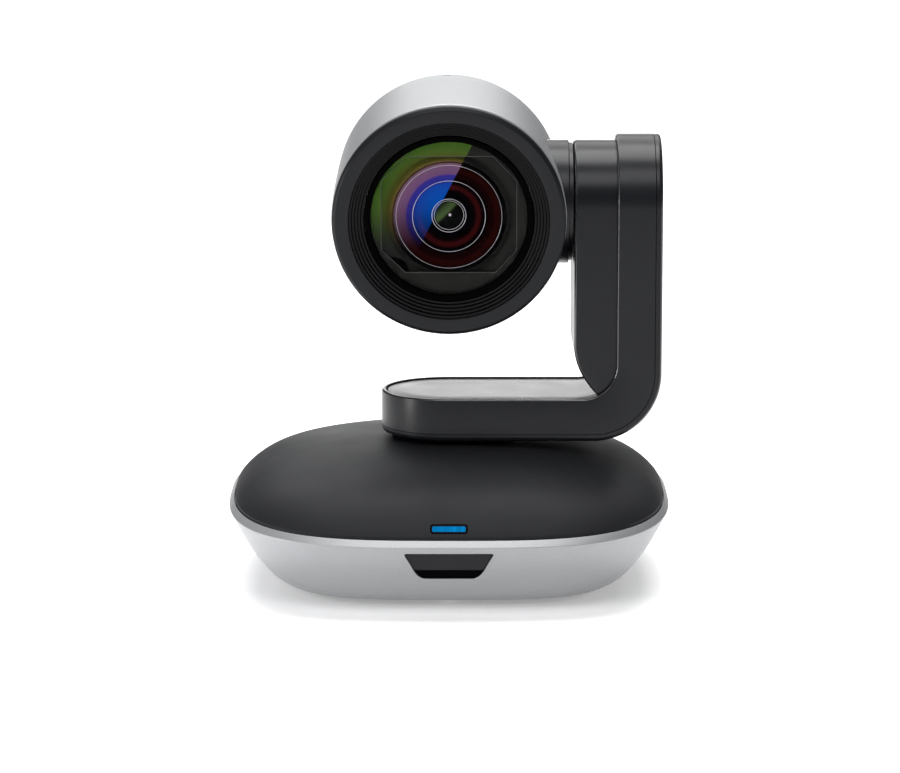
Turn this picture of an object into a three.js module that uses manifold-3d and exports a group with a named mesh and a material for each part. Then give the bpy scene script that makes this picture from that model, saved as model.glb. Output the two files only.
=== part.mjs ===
// A desktop pan-tilt-zoom conference camera, in millimetres, +Z up.
// The origin is at the centre of the base's footprint, on the surface it stands on.
// The lens looks along -Y, and the one-sided arm that carries the head is on +X.
import * as THREE from "three";
import { mergeVertices } from "three/addons/utils/BufferGeometryUtils.js";
import Module from "manifold-3d";

const wasm = await Module();
wasm.setup();

// ---------------------------------------------------------------- driving dimensions
const GAP = 0.3; // between pieces that touch

// base
const BASE_HALF_WIDTH = 65;
const BASE_HALF_DEPTH = 64.5;
const LIP_OUTER_Z = 21.3; // widest line of the silver shell
const LIP_TOP_Z = 23.1; // where the dark cover begins
const LIP_TOP_R = 63.6;
const SIDE_LIFT = 3.76; // the lip's rise from the front to the middle of each side
const LIFT_START_Z = 5.2;
const DOME_TOP_Z = 42;
const DOME_FLAT_R = 20;
const DOME_RISE = 18.9;
const DOME_HALF_WIDTH = 63.6;
const DOME_EDGE_R = 63.25;
const SHELL_BOTTOM_Z = 1.5;
const BOTTOM_OPENING = 43.5;
const PLATE_TOP_Z = 3.3;
const FOOT_R = 5;
const FOOT_OFFSET = 28;
const POST_OFFSET = 24.5;
const PLATE_SCREW_OFFSET = 39.4;
const JACK_PLACE = [-11, 12.8]; // x and z of the power jack's middle
const TRIPOD_BORE_R = 3.1;

// pan and tilt axes
const TILT_Z = 112;
const REST_TILT = THREE.MathUtils.degToRad(7); // the head's nose hangs this far below level

// arm: an L-shaped strip of constant depth with both ends rounded
const ARM_R = 20;
const ARM_BOTTOM_Z = 43.5;
const ARM_BAR_TOP_Z = 56;
const ARM_INNER_X = 49.1;
const ARM_OUTER_X = 62.3;
const ARM_OUTER_FILLET = 20;
const ARM_INNER_FILLET = 10.3;
const COVER_THICKNESS = 1.8;
const ARM_WEB = 3.2;
const ARM_WALL = 2.2;
const HOUSING_R = 18.2;
const HOUSING_X = 36.6;

// head, about its own axis
const HEAD_R = 34.2;
const HEAD_REAR_R = 33.4;
const HEAD_FACE_Y = -24.9;
const HEAD_REAR_Y = 30;
const HUB_R = 18.2;
const HUB_X = 35.2;

// gears, module 1
const PAN_TEETH = 40;
const PAN_PINION_TEETH = 12;
const TILT_TEETH = 28;
const TILT_PINION_TEETH = 10;
const PAN_PINION_X = -(PAN_TEETH + PAN_PINION_TEETH) / 2;
const TILT_PINION_Z = TILT_Z - (TILT_TEETH + TILT_PINION_TEETH) / 2;

// lens train
const BARREL_BORE_R = 16.5;
const ROD_X = 13.8;
const SCREW_Z = 14;

// ---------------------------------------------------------------- materials
const paint = {
  silver: { color: 0xc9cbce, roughness: 0.42, metalness: 0.55 },
  black: { color: 0x232427, roughness: 0.5, metalness: 0 },
  dome: { color: 0x2b2c30, roughness: 0.55, metalness: 0 },
  gloss: { color: 0x08080a, roughness: 0.12, metalness: 0 },
  mask: { color: 0x3a3b3e, roughness: 0.5, metalness: 0 },
  glass: { color: 0x1a1420, roughness: 0.03, metalness: 0 },
  lens: { color: 0x30485a, roughness: 0.03, metalness: 0 },
  led: { color: 0x0082d7, roughness: 0.3, metalness: 0 },
  rubber: { color: 0x18181a, roughness: 0.9, metalness: 0 },
  brass: { color: 0xb08d4a, roughness: 0.35, metalness: 1 },
  steel: { color: 0xb4b6b8, roughness: 0.3, metalness: 1 },
  alloy: { color: 0x9a9da0, roughness: 0.45, metalness: 1 },
  gear: { color: 0xe3e0d6, roughness: 0.5, metalness: 0 },
  board: { color: 0x1d4a33, roughness: 0.6, metalness: 0 },
};

// ---------------------------------------------------------------- solids
function solidOf(geometry) {
  const bare = geometry.index ? geometry.toNonIndexed() : geometry.clone();
  bare.deleteAttribute("normal");
  bare.deleteAttribute("uv");
  const merged = mergeVertices(bare, 1e-4);
  const vertProperties = new Float32Array(merged.attributes.position.array);
  const corners = merged.index.array;
  const kept = [];
  for (let i = 0; i < corners.length; i += 3) {
    const [a, b, c] = [corners[i], corners[i + 1], corners[i + 2]];
    if (a !== b && b !== c && c !== a) kept.push(a, b, c);
  }
  if (signedVolume(vertProperties, kept) < 0) kept.reverse();
  return new wasm.Manifold(new wasm.Mesh({ numProp: 3, vertProperties, triVerts: new Uint32Array(kept) }));
}

function signedVolume(xyz, triangles) {
  const corner = (i) => new THREE.Vector3().fromArray(xyz, triangles[i] * 3);
  let sum = 0;
  for (let i = 0; i < triangles.length; i += 3) {
    sum += corner(i).dot(corner(i + 1).cross(corner(i + 2)));
  }
  return sum;
}

function geometryOf(solid) {
  const mesh = solid.getMesh();
  const geometry = new THREE.BufferGeometry();
  geometry.setAttribute("position", new THREE.BufferAttribute(new Float32Array(mesh.vertProperties), 3));
  geometry.setIndex(new THREE.BufferAttribute(new Uint32Array(mesh.triVerts), 1));
  geometry.computeVertexNormals();
  return geometry;
}

function box([x0, x1], [y0, y1], [z0, z1]) {
  const geometry = new THREE.BoxGeometry(x1 - x0, y1 - y0, z1 - z0);
  return solidOf(geometry.translate((x0 + x1) / 2, (y0 + y1) / 2, (z0 + z1) / 2));
}

// A round bar along one axis, from one end coordinate to the other.
function bar(axis, r, [from, to], [u, v] = [0, 0], segments = 16) {
  const geometry = new THREE.CylinderGeometry(r, r, to - from, segments);
  const middle = (from + to) / 2;
  if (axis === "x") return solidOf(geometry.rotateZ(-Math.PI / 2).translate(middle, u, v));
  if (axis === "y") return solidOf(geometry.translate(u, middle, v));
  return solidOf(geometry.rotateX(Math.PI / 2).translate(u, v, middle));
}

function tube(axis, outer, inner, [from, to], centre = [0, 0], segments = 18) {
  const hole = bar(axis, inner, [from - 1, to + 1], centre, segments);
  return bar(axis, outer, [from, to], centre, segments).subtract(hole);
}

// A turned piece about Y: points are [radius, y], on the axis at both ends or closing on themselves.
function turned(points, segments = 28) {
  const profile = points.map(([r, y]) => new THREE.Vector2(r, y));
  return solidOf(new THREE.LatheGeometry(profile, segments));
}

function closed(points) {
  return [...points, points[0]];
}

function joined(solids) {
  return solids.reduce((all, one) => all.add(one));
}

// ---------------------------------------------------------------- the base's rounded-square plan
// The lip is level across the front and the back and arches up along each side. The skins go with it.
function sideLift(r, y, z) {
  const { clamp } = THREE.MathUtils;
  const below = clamp((z - LIFT_START_Z) / (LIP_OUTER_Z - LIFT_START_Z), 0, 1);
  const above = clamp((DOME_TOP_Z - z) / (DOME_TOP_Z - LIP_TOP_Z), 0, 1);
  const outward = clamp((r - DOME_FLAT_R) / 14, 0, 1);
  const side = Math.max(0, 1 - (y / BASE_HALF_DEPTH) ** 2);
  return SIDE_LIFT * below * above * outward * side;
}

// A ring of radius r becomes a superellipse with semi-axes r and r * depth / width.
function squircle(points, exponent, segments = 32) {
  const profile = points.map(([r, z]) => new THREE.Vector2(r, z));
  const geometry = new THREE.LatheGeometry(profile, segments).rotateX(Math.PI / 2);
  const position = geometry.attributes.position;
  const depth = BASE_HALF_DEPTH / BASE_HALF_WIDTH;
  for (let i = 0; i < position.count; i += 1) {
    const [x, y, z] = [position.getX(i), position.getY(i), position.getZ(i)];
    const r = Math.hypot(x, y);
    if (r < 1e-6) continue;
    const n = exponent(r, z);
    const stretch = (Math.abs(x / r) ** n + Math.abs(y / r / depth) ** n) ** (-1 / n);
    position.setXYZ(i, x * stretch, y * stretch, z + sideLift(r, y * stretch, z));
  }
  return solidOf(geometry);
}

const RIM_EXPONENT = 3.34;
const wallExponent = (r, z) => RIM_EXPONENT + 0.38 * THREE.MathUtils.clamp((20 - z) / 18.5, 0, 1);
const domeExponent = (r) => 2 + (RIM_EXPONENT - 2) * THREE.MathUtils.smoothstep(r, 33, 62);

function wallCurve(start, control, end, count) {
  const curve = new THREE.QuadraticBezierCurve(
    new THREE.Vector2(...start),
    new THREE.Vector2(...control),
    new THREE.Vector2(...end),
  );
  return curve.getPoints(count).map((p) => [p.x, p.y]);
}

const lipCorner = [BASE_HALF_WIDTH, LIP_OUTER_Z];
const outerWall = wallCurve(lipCorner, [54, 2], [BOTTOM_OPENING, SHELL_BOTTOM_Z], 6);
const innerWall = wallCurve([61.3, 19], [53, 6], [45, 5.2], 3);

function domeHeight(r, halfWidth, rise) {
  return LIP_TOP_Z + rise * (1 - Math.min(1, r / halfWidth) ** 4) ** 0.82;
}

const domeRadii = [30, 40, 49, 56, 60.2, 62.3, 63.15];
const domeSkin = domeRadii.map((r) => [r, domeHeight(r, DOME_HALF_WIDTH, DOME_RISE)]);
const domeInside = [60.6, 57, 48, 32].map((r) => [r, domeHeight(r, 61.4, DOME_RISE - 2.1)]);

// Everything inside the base's outer surface, drawn in by a margin.
function baseVolume(margin) {
  const skin = outerWall.slice().reverse().map(([r, z]) => [r - margin, z]);
  const lip = [LIP_TOP_R - margin, LIP_TOP_Z];
  return squircle([[0, SHELL_BOTTOM_Z + margin], ...skin, lip, [0, LIP_TOP_Z]], wallExponent);
}

function domeVolume(margin) {
  const skin = domeSkin.slice().reverse().map(([r, z]) => [r - margin, z - margin * 0.4]);
  const edge = [DOME_EDGE_R - margin, 20];
  return squircle([[0, 20], edge, ...skin, [DOME_FLAT_R, DOME_TOP_Z], [0, DOME_TOP_Z]], domeExponent);
}

// A flat outline in X and Z, carried along Y between two limits.
function alongY(shape, [y0, y1]) {
  const settings = { depth: y1 - y0, bevelEnabled: false, curveSegments: 7 };
  const geometry = new THREE.ExtrudeGeometry(shape, settings);
  return solidOf(geometry.rotateX(Math.PI / 2).translate(0, y1, 0));
}

// A flat outline in X and Y, carried up Z between two limits.
function alongZ(shape, [z0, z1]) {
  const settings = { depth: z1 - z0, bevelEnabled: false, curveSegments: 8 };
  const geometry = new THREE.ExtrudeGeometry(shape, settings);
  return solidOf(geometry.translate(0, 0, z0));
}

function windowShape(grow) {
  const [top, bottom] = [19.4 + grow, 10.9 - grow];
  const [halfTop, halfBottom] = [12.75 + grow * 1.3, 6.6 + grow * 0.6];
  const shape = new THREE.Shape();
  shape.moveTo(-halfTop, top);
  shape.lineTo(-halfTop + 2.1, top - 4.4);
  shape.quadraticCurveTo(-halfBottom - 2.4, bottom, -halfBottom, bottom);
  shape.lineTo(halfBottom, bottom);
  shape.quadraticCurveTo(halfBottom + 2.4, bottom, halfTop - 2.1, top - 4.4);
  shape.lineTo(halfTop, top);
  shape.closePath();
  return shape;
}

function slotShape(halfLength, r, centreZ) {
  const shape = new THREE.Shape();
  shape.moveTo(-halfLength + r, centreZ - r);
  shape.lineTo(halfLength - r, centreZ - r);
  shape.absarc(halfLength - r, centreZ, r, -Math.PI / 2, Math.PI / 2, false);
  shape.lineTo(-halfLength + r, centreZ + r);
  shape.absarc(-halfLength + r, centreZ, r, Math.PI / 2, (3 * Math.PI) / 2, false);
  return shape;
}

const LED_Z = 26.2;
const plateScrewPlaces = [[1, 0], [0, 1], [-1, 0], [0, -1]].map((p) => p.map((v) => v * PLATE_SCREW_OFFSET));
const diagonals = [[1, -1], [1, 1], [-1, 1], [-1, -1]];
const footPlaces = diagonals.map((p) => p.map((v) => v * FOOT_OFFSET));
const postPlaces = diagonals.map((p) => p.map((v) => v * POST_OFFSET));

// ---------------------------------------------------------------- base solids
function lowerShell() {
  const profile = closed([
    ...outerWall,
    [BOTTOM_OPENING, 3.6],
    [36, 3.6],
    [36, 5.2],
    ...innerWall.slice().reverse(),
    [61.5, LIP_OUTER_Z],
    [63.55, LIP_OUTER_Z],
    [LIP_TOP_R, LIP_TOP_Z],
  ]);
  const cuts = [
    alongY(windowShape(GAP), [-70, -48]),
    box([-21.3, 21.3], [46, 70], [6.2, 19.6]),
    ...plateScrewPlaces.map((p) => bar("z", 1.5, [2, 8], p, 8)),
  ];
  return squircle(profile, wallExponent).subtract(joined(cuts));
}

function topCover() {
  const profile = closed([
    [9.3, DOME_TOP_Z],
    [DOME_FLAT_R, DOME_TOP_Z],
    ...domeSkin,
    [DOME_EDGE_R, LIP_TOP_Z],
    [DOME_EDGE_R, 21.6],
    [61.2, 21.6],
    ...domeInside,
    [16, 39.9],
    [16, 35],
    [14, 35],
    [14, 40.2],
    [9.3, 40.2],
  ]);
  return squircle(profile, domeExponent).subtract(alongY(slotShape(5.5, 1.45, LED_Z), [-70, -50]));
}

function bottomPlate() {
  const edge = BOTTOM_OPENING - GAP;
  const [low, high] = [SHELL_BOTTOM_Z, PLATE_TOP_Z];
  const disc = squircle([[0, low], [edge, low], [edge, high], [0, high]], wallExponent);
  const posts = postPlaces.map((p) => bar("z", 3, [PLATE_TOP_Z - 0.5, 9.7], p, 8));
  const cuts = [
    bar("z", 6.3, [0, 6]),
    ...footPlaces.map((p) => bar("z", FOOT_R + GAP, [0, 2.1], p)),
    ...plateScrewPlaces.map((p) => bar("z", 1.5, [0, 6], p, 8)),
    ...plateScrewPlaces.map((p) => bar("z", 2.6, [0, 2.4], p, 10)),
  ];
  return joined([disc, ...posts]).subtract(joined(cuts));
}

function portPanel() {
  const tray = box([-21, 21], [49, 70], [6.5, 19.3]);
  const pocket = box([-19.4, 19.4], [50.6, 71], [7.9, 17.7]);
  const holes = [
    bar("y", 4.2, [45, 55], JACK_PLACE, 20),
    box([-1.5, 11.9], [45, 55], [9.9, 15.7]),
    box([14.5, 17.3], [45, 55], [9.3, 16.3]),
  ];
  return tray.subtract(joined([pocket, ...holes])).intersect(baseVolume(0.35));
}

function dcJack() {
  const body = box([-16, -6], [39.8, 48.7], [8.2, 17.4]);
  const nose = bar("y", 3.9, [48, 50.2], JACK_PLACE, 20);
  const bore = bar("y", 2.8, [42, 52], JACK_PLACE, 20);
  const pin = bar("y", 0.9, [41, 49.5], JACK_PLACE, 10);
  return body.add(nose).subtract(bore).add(pin);
}

function dataPort() {
  const shell = box([-1.2, 11.6], [39.8, 50.4], [10.2, 15.4]);
  const mouth = box([-0.6, 11], [41, 52], [10.8, 14.8]);
  const tongue = box([0.6, 9.8], [40.5, 49.6], [13, 14.2]);
  return shell.subtract(mouth).add(tongue);
}

function tripodInsert() {
  const body = joined([
    bar("z", 6, [SHELL_BOTTOM_Z, 9]),
    bar("z", 8.5, [3.6, 5]),
  ]);
  return body.subtract(bar("z", TRIPOD_BORE_R, [0, 10], [0, 0], 20));
}

function plateScrew([x, y]) {
  const head = bar("z", 2.3, [1.6, 2.3], [x, y], 10);
  const shank = bar("z", 1.2, [2.2, 5], [x, y], 8);
  return head.add(shank);
}

function mainBoard() {
  const board = box([-43, 38], [-36, 39], [10, 11.6]);
  const chips = [
    box([8, 22], [-24, -10], [11.5, 13]),
    box([26, 34], [4, 12], [11.5, 12.8]),
    box([0, 9], [14, 22], [11.5, 12.7]),
    box([-4, 12], [28, 34], [11.5, 14.5]),
  ];
  return joined([board, ...chips]);
}

function driveChassis() {
  const plate = box([PAN_PINION_X, 0], [-17, 17], [26.3, 27.8]);
  const ends = [bar("z", 17, [26.3, 27.8]), bar("z", 17, [26.3, 27.8], [PAN_PINION_X, 0])];
  const legs = [[-39.5, 9], [-39.5, -9], [13, 7.5], [13, -4]].map((p) => bar("z", 2.5, [11.9, 26.5], p, 12));
  const cuts = [bar("z", 8, [20, 30]), bar("z", 2.2, [20, 30], [PAN_PINION_X, 0], 16)];
  return joined([plate, ...ends, ...legs]).subtract(joined(cuts));
}

function panMotor() {
  const centre = [PAN_PINION_X, 0];
  const can = bar("z", 13, [12, 26], centre, 32);
  return can.subtract(bar("z", 2, [25, 30], centre, 12));
}

// Thin pieces that follow the base's outside at the front: an outline cut out of a skin.
const throughFront = [-70, -50];

function irWindow() {
  const skin = baseVolume(0.5).subtract(baseVolume(2.2));
  return alongY(windowShape(0), throughFront).intersect(skin);
}

function ledBezel() {
  const skin = domeVolume(0.15).subtract(domeVolume(1.6));
  const outline = alongY(slotShape(5.2, 1.15, LED_Z), throughFront).intersect(skin);
  return outline.subtract(alongY(slotShape(4.8, 0.75, LED_Z), throughFront));
}

function ledLens() {
  return alongY(slotShape(4.5, 0.45, LED_Z), [-63.2, -56]).intersect(domeVolume(0.3));
}

function irReceiver() {
  const board = box([-8, 8], [-50.4, -49.2], [10, 18]);
  const eye = bar("y", 2.6, [-53, -50], [0, 14.5], 16);
  return board.add(eye);
}

// ---------------------------------------------------------------- arm solids
// The strip between two lines, each drawn in from the arm's outer or inner side.
function armStrip(outerInset, innerX, barTop, innerFillet) {
  const bottom = ARM_BOTTOM_Z + outerInset;
  const right = ARM_OUTER_X - outerInset;
  const outerCentre = [ARM_OUTER_X - ARM_OUTER_FILLET, ARM_BOTTOM_Z + ARM_OUTER_FILLET];
  const innerCentre = [innerX - innerFillet, barTop + innerFillet];
  const shape = new THREE.Shape();
  shape.moveTo(-25, bottom);
  shape.lineTo(outerCentre[0], bottom);
  shape.absarc(...outerCentre, ARM_OUTER_FILLET - outerInset, -Math.PI / 2, 0, false);
  shape.lineTo(right, 140);
  shape.lineTo(innerX, 140);
  shape.lineTo(innerX, innerCentre[1]);
  shape.absarc(...innerCentre, innerFillet, 0, -Math.PI / 2, true);
  shape.lineTo(-25, barTop);
  shape.closePath();
  return alongY(shape, [-30, 30]);
}

// The strip whose inner line lies this far inside the arm's inner side.
function stripToInner(outerInset, innerInset) {
  return armStrip(
    outerInset, ARM_INNER_X + innerInset, ARM_BAR_TOP_Z - innerInset, ARM_INNER_FILLET + innerInset,
  );
}

// The skin of a given thickness along the arm's outer side.
function outerSkin(thickness) {
  return armStrip(
    0, ARM_OUTER_X - thickness, ARM_BOTTOM_Z + thickness, ARM_OUTER_FILLET - thickness,
  );
}

// Round ends: about the pan axis seen from above, and about the tilt axis seen from the side.
function roundEnds(r) {
  const above = bar("z", r, [30, 145], [0, 0], 32).add(box([0, 70], [-r, r], [30, 145]));
  const side = bar("x", r, [-30, 70], [0, TILT_Z], 32).add(box([-30, 70], [-r, r], [30, TILT_Z]));
  return above.intersect(side);
}

function armFrame() {
  const body = stripToInner(COVER_THICKNESS + GAP, 0).intersect(roundEnds(ARM_R));
  const hollow = stripToInner(-3, ARM_WEB).intersect(roundEnds(ARM_R - ARM_WALL));
  const plateSeat = stripToInner(-3, -3).subtract(stripToInner(-6, 1.6)).intersect(roundEnds(ARM_R - 1.3));
  const bosses = [
    tube("z", 12.5, 7.4, [47.7, 53.2], [0, 0]),
    tube("x", 10.6, 8.3, [51.2, 56], [0, TILT_Z]),
  ];
  const cuts = [
    bar("z", 5.5, [47, 60]),
    bar("x", 8.3, [48, 56.5], [0, TILT_Z]),
    bar("x", 8.3, [48, 54], [0, TILT_PINION_Z]),
  ];
  return body.subtract(hollow).subtract(plateSeat).add(joined(bosses)).subtract(joined(cuts));
}

function armOuterCover() {
  return outerSkin(COVER_THICKNESS).intersect(roundEnds(ARM_R - 0.3)).subtract(bar("z", 7.5, [40, 50]));
}

function armInnerCover() {
  const strip = stripToInner(-3, 0.35).subtract(stripToInner(-6, 1.3));
  const plate = strip.intersect(roundEnds(ARM_R - 1.6));
  const outline = new THREE.Shape();
  outline.moveTo(HOUSING_X, 135);
  outline.lineTo(HOUSING_X, 71);
  outline.bezierCurveTo(HOUSING_X + 0.4, 65, HOUSING_X + 3.6, 60, 43.9, 56.6);
  outline.absarc(ARM_INNER_X - ARM_INNER_FILLET, ARM_BAR_TOP_Z + ARM_INNER_FILLET, 11.2, -1.07, 0, false);
  outline.lineTo(50, 135);
  outline.closePath();
  const housingSide = bar("x", HOUSING_R, [30, 60], [0, TILT_Z], 24)
    .add(box([30, 60], [-HOUSING_R, HOUSING_R], [50, TILT_Z]));
  const housing = alongY(outline, [-25, 25]).intersect(housingSide);
  const inside = HOUSING_R - 1.6;
  const hollow = bar("x", inside, [HOUSING_X + 1.6, 55], [0, TILT_Z], 24)
    .add(box([HOUSING_X + 1.6, 55], [-inside, inside], [71, TILT_Z]));
  return housing.add(plate).subtract(hollow).subtract(bar("x", 4.6, [30, 45], [0, TILT_Z]));
}

function panShaft() {
  const body = joined([bar("z", 7, [28.3, 50]), bar("z", 12.2, [45.9, 47.4])]);
  return body.subtract(bar("z", 4.8, [20, 60]));
}

function tiltDriverBoard() {
  const board = box([55, 56.2], [-12, 12], [66, 82]);
  return board.add(box([56, 57.6], [-4, 4], [70, 78]));
}

// ---------------------------------------------------------------- gears
function gearShape(teeth, phase, boreR) {
  const pitch = teeth / 2;
  const step = (2 * Math.PI) / teeth;
  const corners = [
    [pitch - 1.15, -0.27],
    [pitch + 0.75, -0.12],
    [pitch + 0.75, 0.12],
    [pitch - 1.15, 0.27],
  ];
  const shape = new THREE.Shape();
  for (let tooth = 0; tooth < teeth; tooth += 1) {
    for (const [r, fraction] of corners) {
      const angle = phase + (tooth + fraction) * step;
      const point = [r * Math.cos(angle), r * Math.sin(angle)];
      if (tooth === 0 && fraction === corners[0][1]) shape.moveTo(...point);
      else shape.lineTo(...point);
    }
  }
  shape.closePath();
  if (boreR > 0) shape.holes.push(new THREE.Path().absarc(0, 0, boreR, 0, 2 * Math.PI, true));
  return shape;
}

// Gears that turn about X: the drawing's x runs along Y and its y along Z.
function gearAlongX(shape, [x0, x1], z) {
  return alongZ(shape, [0, x1 - x0]).rotate([90, 0, 90]).translate([x0, 0, z]);
}

function panGear() {
  return alongZ(gearShape(PAN_TEETH, Math.PI, 7.3), [28.7, 31.7]);
}

function panPinion() {
  const teeth = alongZ(gearShape(PAN_PINION_TEETH, Math.PI / PAN_PINION_TEETH, 0), [28.5, 31.9]);
  return teeth.translate([PAN_PINION_X, 0, 0]).add(bar("z", 1.6, [26, 29], [PAN_PINION_X, 0], 12));
}

function tiltGear() {
  return gearAlongX(gearShape(TILT_TEETH, -Math.PI / 2, 4.3), [56.6, 59.4], TILT_Z);
}

function tiltPinion() {
  const shape = gearShape(TILT_PINION_TEETH, Math.PI / 2 + Math.PI / TILT_PINION_TEETH, 0);
  const shaft = bar("x", 1.2, [55.6, 57], [0, TILT_PINION_Z], 12);
  return gearAlongX(shape, [56.4, 59.6], TILT_PINION_Z).add(shaft);
}

// ---------------------------------------------------------------- head solids, about the head's own axes
function quarterTurn([r, y], radius, count, backwards = false) {
  const points = [];
  for (let i = 0; i <= count; i += 1) {
    const angle = ((backwards ? count - i : i) / count) * (Math.PI / 2);
    points.push([r + radius * Math.cos(angle), y + radius * Math.sin(angle)]);
  }
  return points;
}

function headShell() {
  const profile = closed([
    [33.8, -21.9],
    [HEAD_R, -21.5],
    [HEAD_R - 0.1, 0],
    ...quarterTurn([HEAD_REAR_R - 8.5, HEAD_REAR_Y - 8.5], 8.5, 4),
    [24.6, HEAD_REAR_Y],
    [24.6, 28.2],
    [22.5, 28.2],
    [22.5, 26.6],
    ...quarterTurn([24.9, 20.1], 6.5, 2, true),
    [32.1, -18.3],
    [32.4, -21.9],
  ]);
  return turned(profile, 36).subtract(bar("x", HUB_R + GAP, [22, 40], [0, 0], 24));
}

function frontBezel() {
  const [ribOuter, ribInner, ribs] = [29.3, 24.9, 3];
  const [width, depth] = [(ribOuter - ribInner) / ribs, 1.15];
  const steps = [];
  for (let i = 0; i < ribs; i += 1) {
    steps.push([ribOuter - width * i, HEAD_FACE_Y + depth * i]);
    steps.push([ribOuter - width * i, HEAD_FACE_Y + depth * (i + 1)]);
  }
  const profile = closed([
    [32, -18.8],
    [32, -22.2],
    [34, -22.2],
    [34, -23.9],
    [33.6, -24.6],
    [32.9, HEAD_FACE_Y],
    ...steps,
    [ribInner, HEAD_FACE_Y + depth * ribs],
    [ribInner, -18.8],
  ]);
  return turned(profile, 32);
}

function glassRing() {
  return turned(closed([[23, -21.7], [24.6, -21.7], [24.6, -18.8], [23, -18.8]]));
}

function frontGlass() {
  return turned([[0, -19.5], [22.7, -19.5], [22.7, -20.6], [12, -21.4], [0, -21.6]]);
}

function lensMask() {
  const disc = bar("y", 22.6, [-18.4, -17.6], [0, 0], 32);
  const aperture = new THREE.Shape();
  const [flat, side] = [8.5, 17];
  aperture.moveTo(-flat, -side);
  aperture.lineTo(flat, -side);
  aperture.lineTo(side, -flat);
  aperture.lineTo(side, flat);
  aperture.lineTo(flat, side);
  aperture.lineTo(-flat, side);
  aperture.lineTo(-side, flat);
  aperture.lineTo(-side, -flat);
  aperture.closePath();
  return disc.subtract(alongY(aperture, [-20, -16]));
}

function frontLens() {
  return turned([[0, -11.5], [16.2, -12.8], [16.2, -14.6], [9, -16.3], [0, -16.7]], 28);
}

// A lens cell with two ears on the guide rods and one nut ear on its lead screw.
function lensCell([y0, y1], screwSide) {
  const nut = screwSide > 0 ? box([-2.2, 2.2], [y0, y1], [0, 15.8]) : box([-2.2, 2.2], [y0, y1], [-15.8, 0]);
  const body = joined([bar("y", 10, [y0, y1]), box([-15.6, 15.6], [y0, y1], [-2.3, 2.3]), nut]);
  const holes = [
    bar("y", 1.3, [y0 - 1, y1 + 1], [ROD_X, 0], 12),
    bar("y", 1.3, [y0 - 1, y1 + 1], [-ROD_X, 0], 12),
    bar("y", 1.3, [y0 - 1, y1 + 1], [0, screwSide * SCREW_Z], 12),
  ];
  return body.subtract(joined(holes)).intersect(bar("y", BARREL_BORE_R - 0.4, [y0 - 1, y1 + 1], [0, 0], 32));
}

function sensorBoard() {
  const board = bar("y", 17.8, [14.6, 16], [0, 0], 32);
  const holes = [SCREW_Z, -SCREW_Z].map((z) => bar("y", 1.5, [14, 17], [0, z], 12));
  return board.subtract(joined(holes)).add(box([-5, 5], [15.5, 17.5], [-5, 5]));
}

function cameraChassis() {
  const ring = tube("y", 31.2, 18.4, [-3, -1], [0, 0], 40).subtract(box([24, 40], [-5, 5], [-40, 40]));
  const flange = box([22.4, 24.4], [-11, 11], [-11, 11]);
  const web = box([19.5, 24.4], [-3, -1], [-11, 11]);
  return joined([ring, web, flange]);
}

function tiltHub() {
  const profile = closed([
    [4.3, HUB_X + 1.1],
    [17.4, HUB_X + 1.1],
    [17.4, HUB_X],
    [HUB_R - 0.5, HUB_X],
    [HUB_R, HUB_X - 0.5],
    [HUB_R, 24.8],
    [16.4, 24.8],
    [16.4, 33],
    [7, 33],
    [7, 26],
    [4.3, 26],
  ]);
  return turned(profile, 24).rotate([0, 0, -90]);
}

function rearCap() {
  const disc = turned([[0, 28.5], [24.3, 28.5], [24.3, 29.4], [18, 30.3], [0, 30.6]], 28);
  const slots = [-4, 0, 4].map((z) => box([-9, 9], [27, 32], [z - 0.6, z + 0.6]));
  return disc.subtract(joined(slots));
}

// ---------------------------------------------------------------- the scene graph
const camera = new THREE.Group();
camera.name = "ptz_camera";
const head = new THREE.Group();
head.position.set(0, 0, TILT_Z);
head.rotation.x = REST_TILT;
camera.add(head);

function place(group, name, material, solid) {
  const mesh = new THREE.Mesh(geometryOf(solid), new THREE.MeshStandardMaterial(paint[material]));
  mesh.name = name;
  group.add(mesh);
}

// base
place(camera, "base_lower_shell", "silver", lowerShell());
place(camera, "base_top_cover", "dome", topCover());
place(camera, "base_bottom_plate", "black", bottomPlate());
place(camera, "port_panel", "black", portPanel());
place(camera, "dc_jack", "gloss", dcJack());
place(camera, "data_port", "steel", dataPort());
place(camera, "tripod_insert", "brass", tripodInsert());
footPlaces.forEach((p, i) => {
  place(camera, `foot_${i + 1}`, "rubber", bar("z", FOOT_R, [0, 1.8], p));
});
plateScrewPlaces.forEach((p, i) => {
  place(camera, `plate_screw_${i + 1}`, "steel", plateScrew(p));
});
place(camera, "ir_window", "gloss", irWindow());
place(camera, "led_bezel", "gloss", ledBezel());
place(camera, "led_lens", "led", ledLens());
place(camera, "ir_receiver", "board", irReceiver());
place(camera, "main_board", "board", mainBoard());
place(camera, "drive_chassis", "alloy", driveChassis());
place(camera, "pan_motor", "alloy", panMotor());
place(camera, "pan_bearing", "steel", tube("z", 13.7, 7.3, [35.5, 39.9], [0, 0], 24));
place(camera, "pan_pinion", "gear", panPinion());

// arm
place(camera, "arm_frame", "black", armFrame());
place(camera, "arm_outer_cover", "black", armOuterCover());
place(camera, "arm_inner_cover", "black", armInnerCover());
place(camera, "pan_collar", "black", tube("z", 19.2, 7.5, [42.3, 43.2], [0, 0], 32));
place(camera, "pan_shaft", "alloy", panShaft());
place(camera, "pan_gear", "gear", panGear());
place(camera, "tilt_bearing", "steel", tube("x", 8, 4.3, [50.8, 55.6], [0, TILT_Z], 28));
place(camera, "tilt_motor", "alloy", bar("x", 8, [38.6, 55.3], [0, TILT_PINION_Z], 28));
place(camera, "tilt_driver_board", "board", tiltDriverBoard());
place(camera, "tilt_pinion", "gear", tiltPinion());

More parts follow.
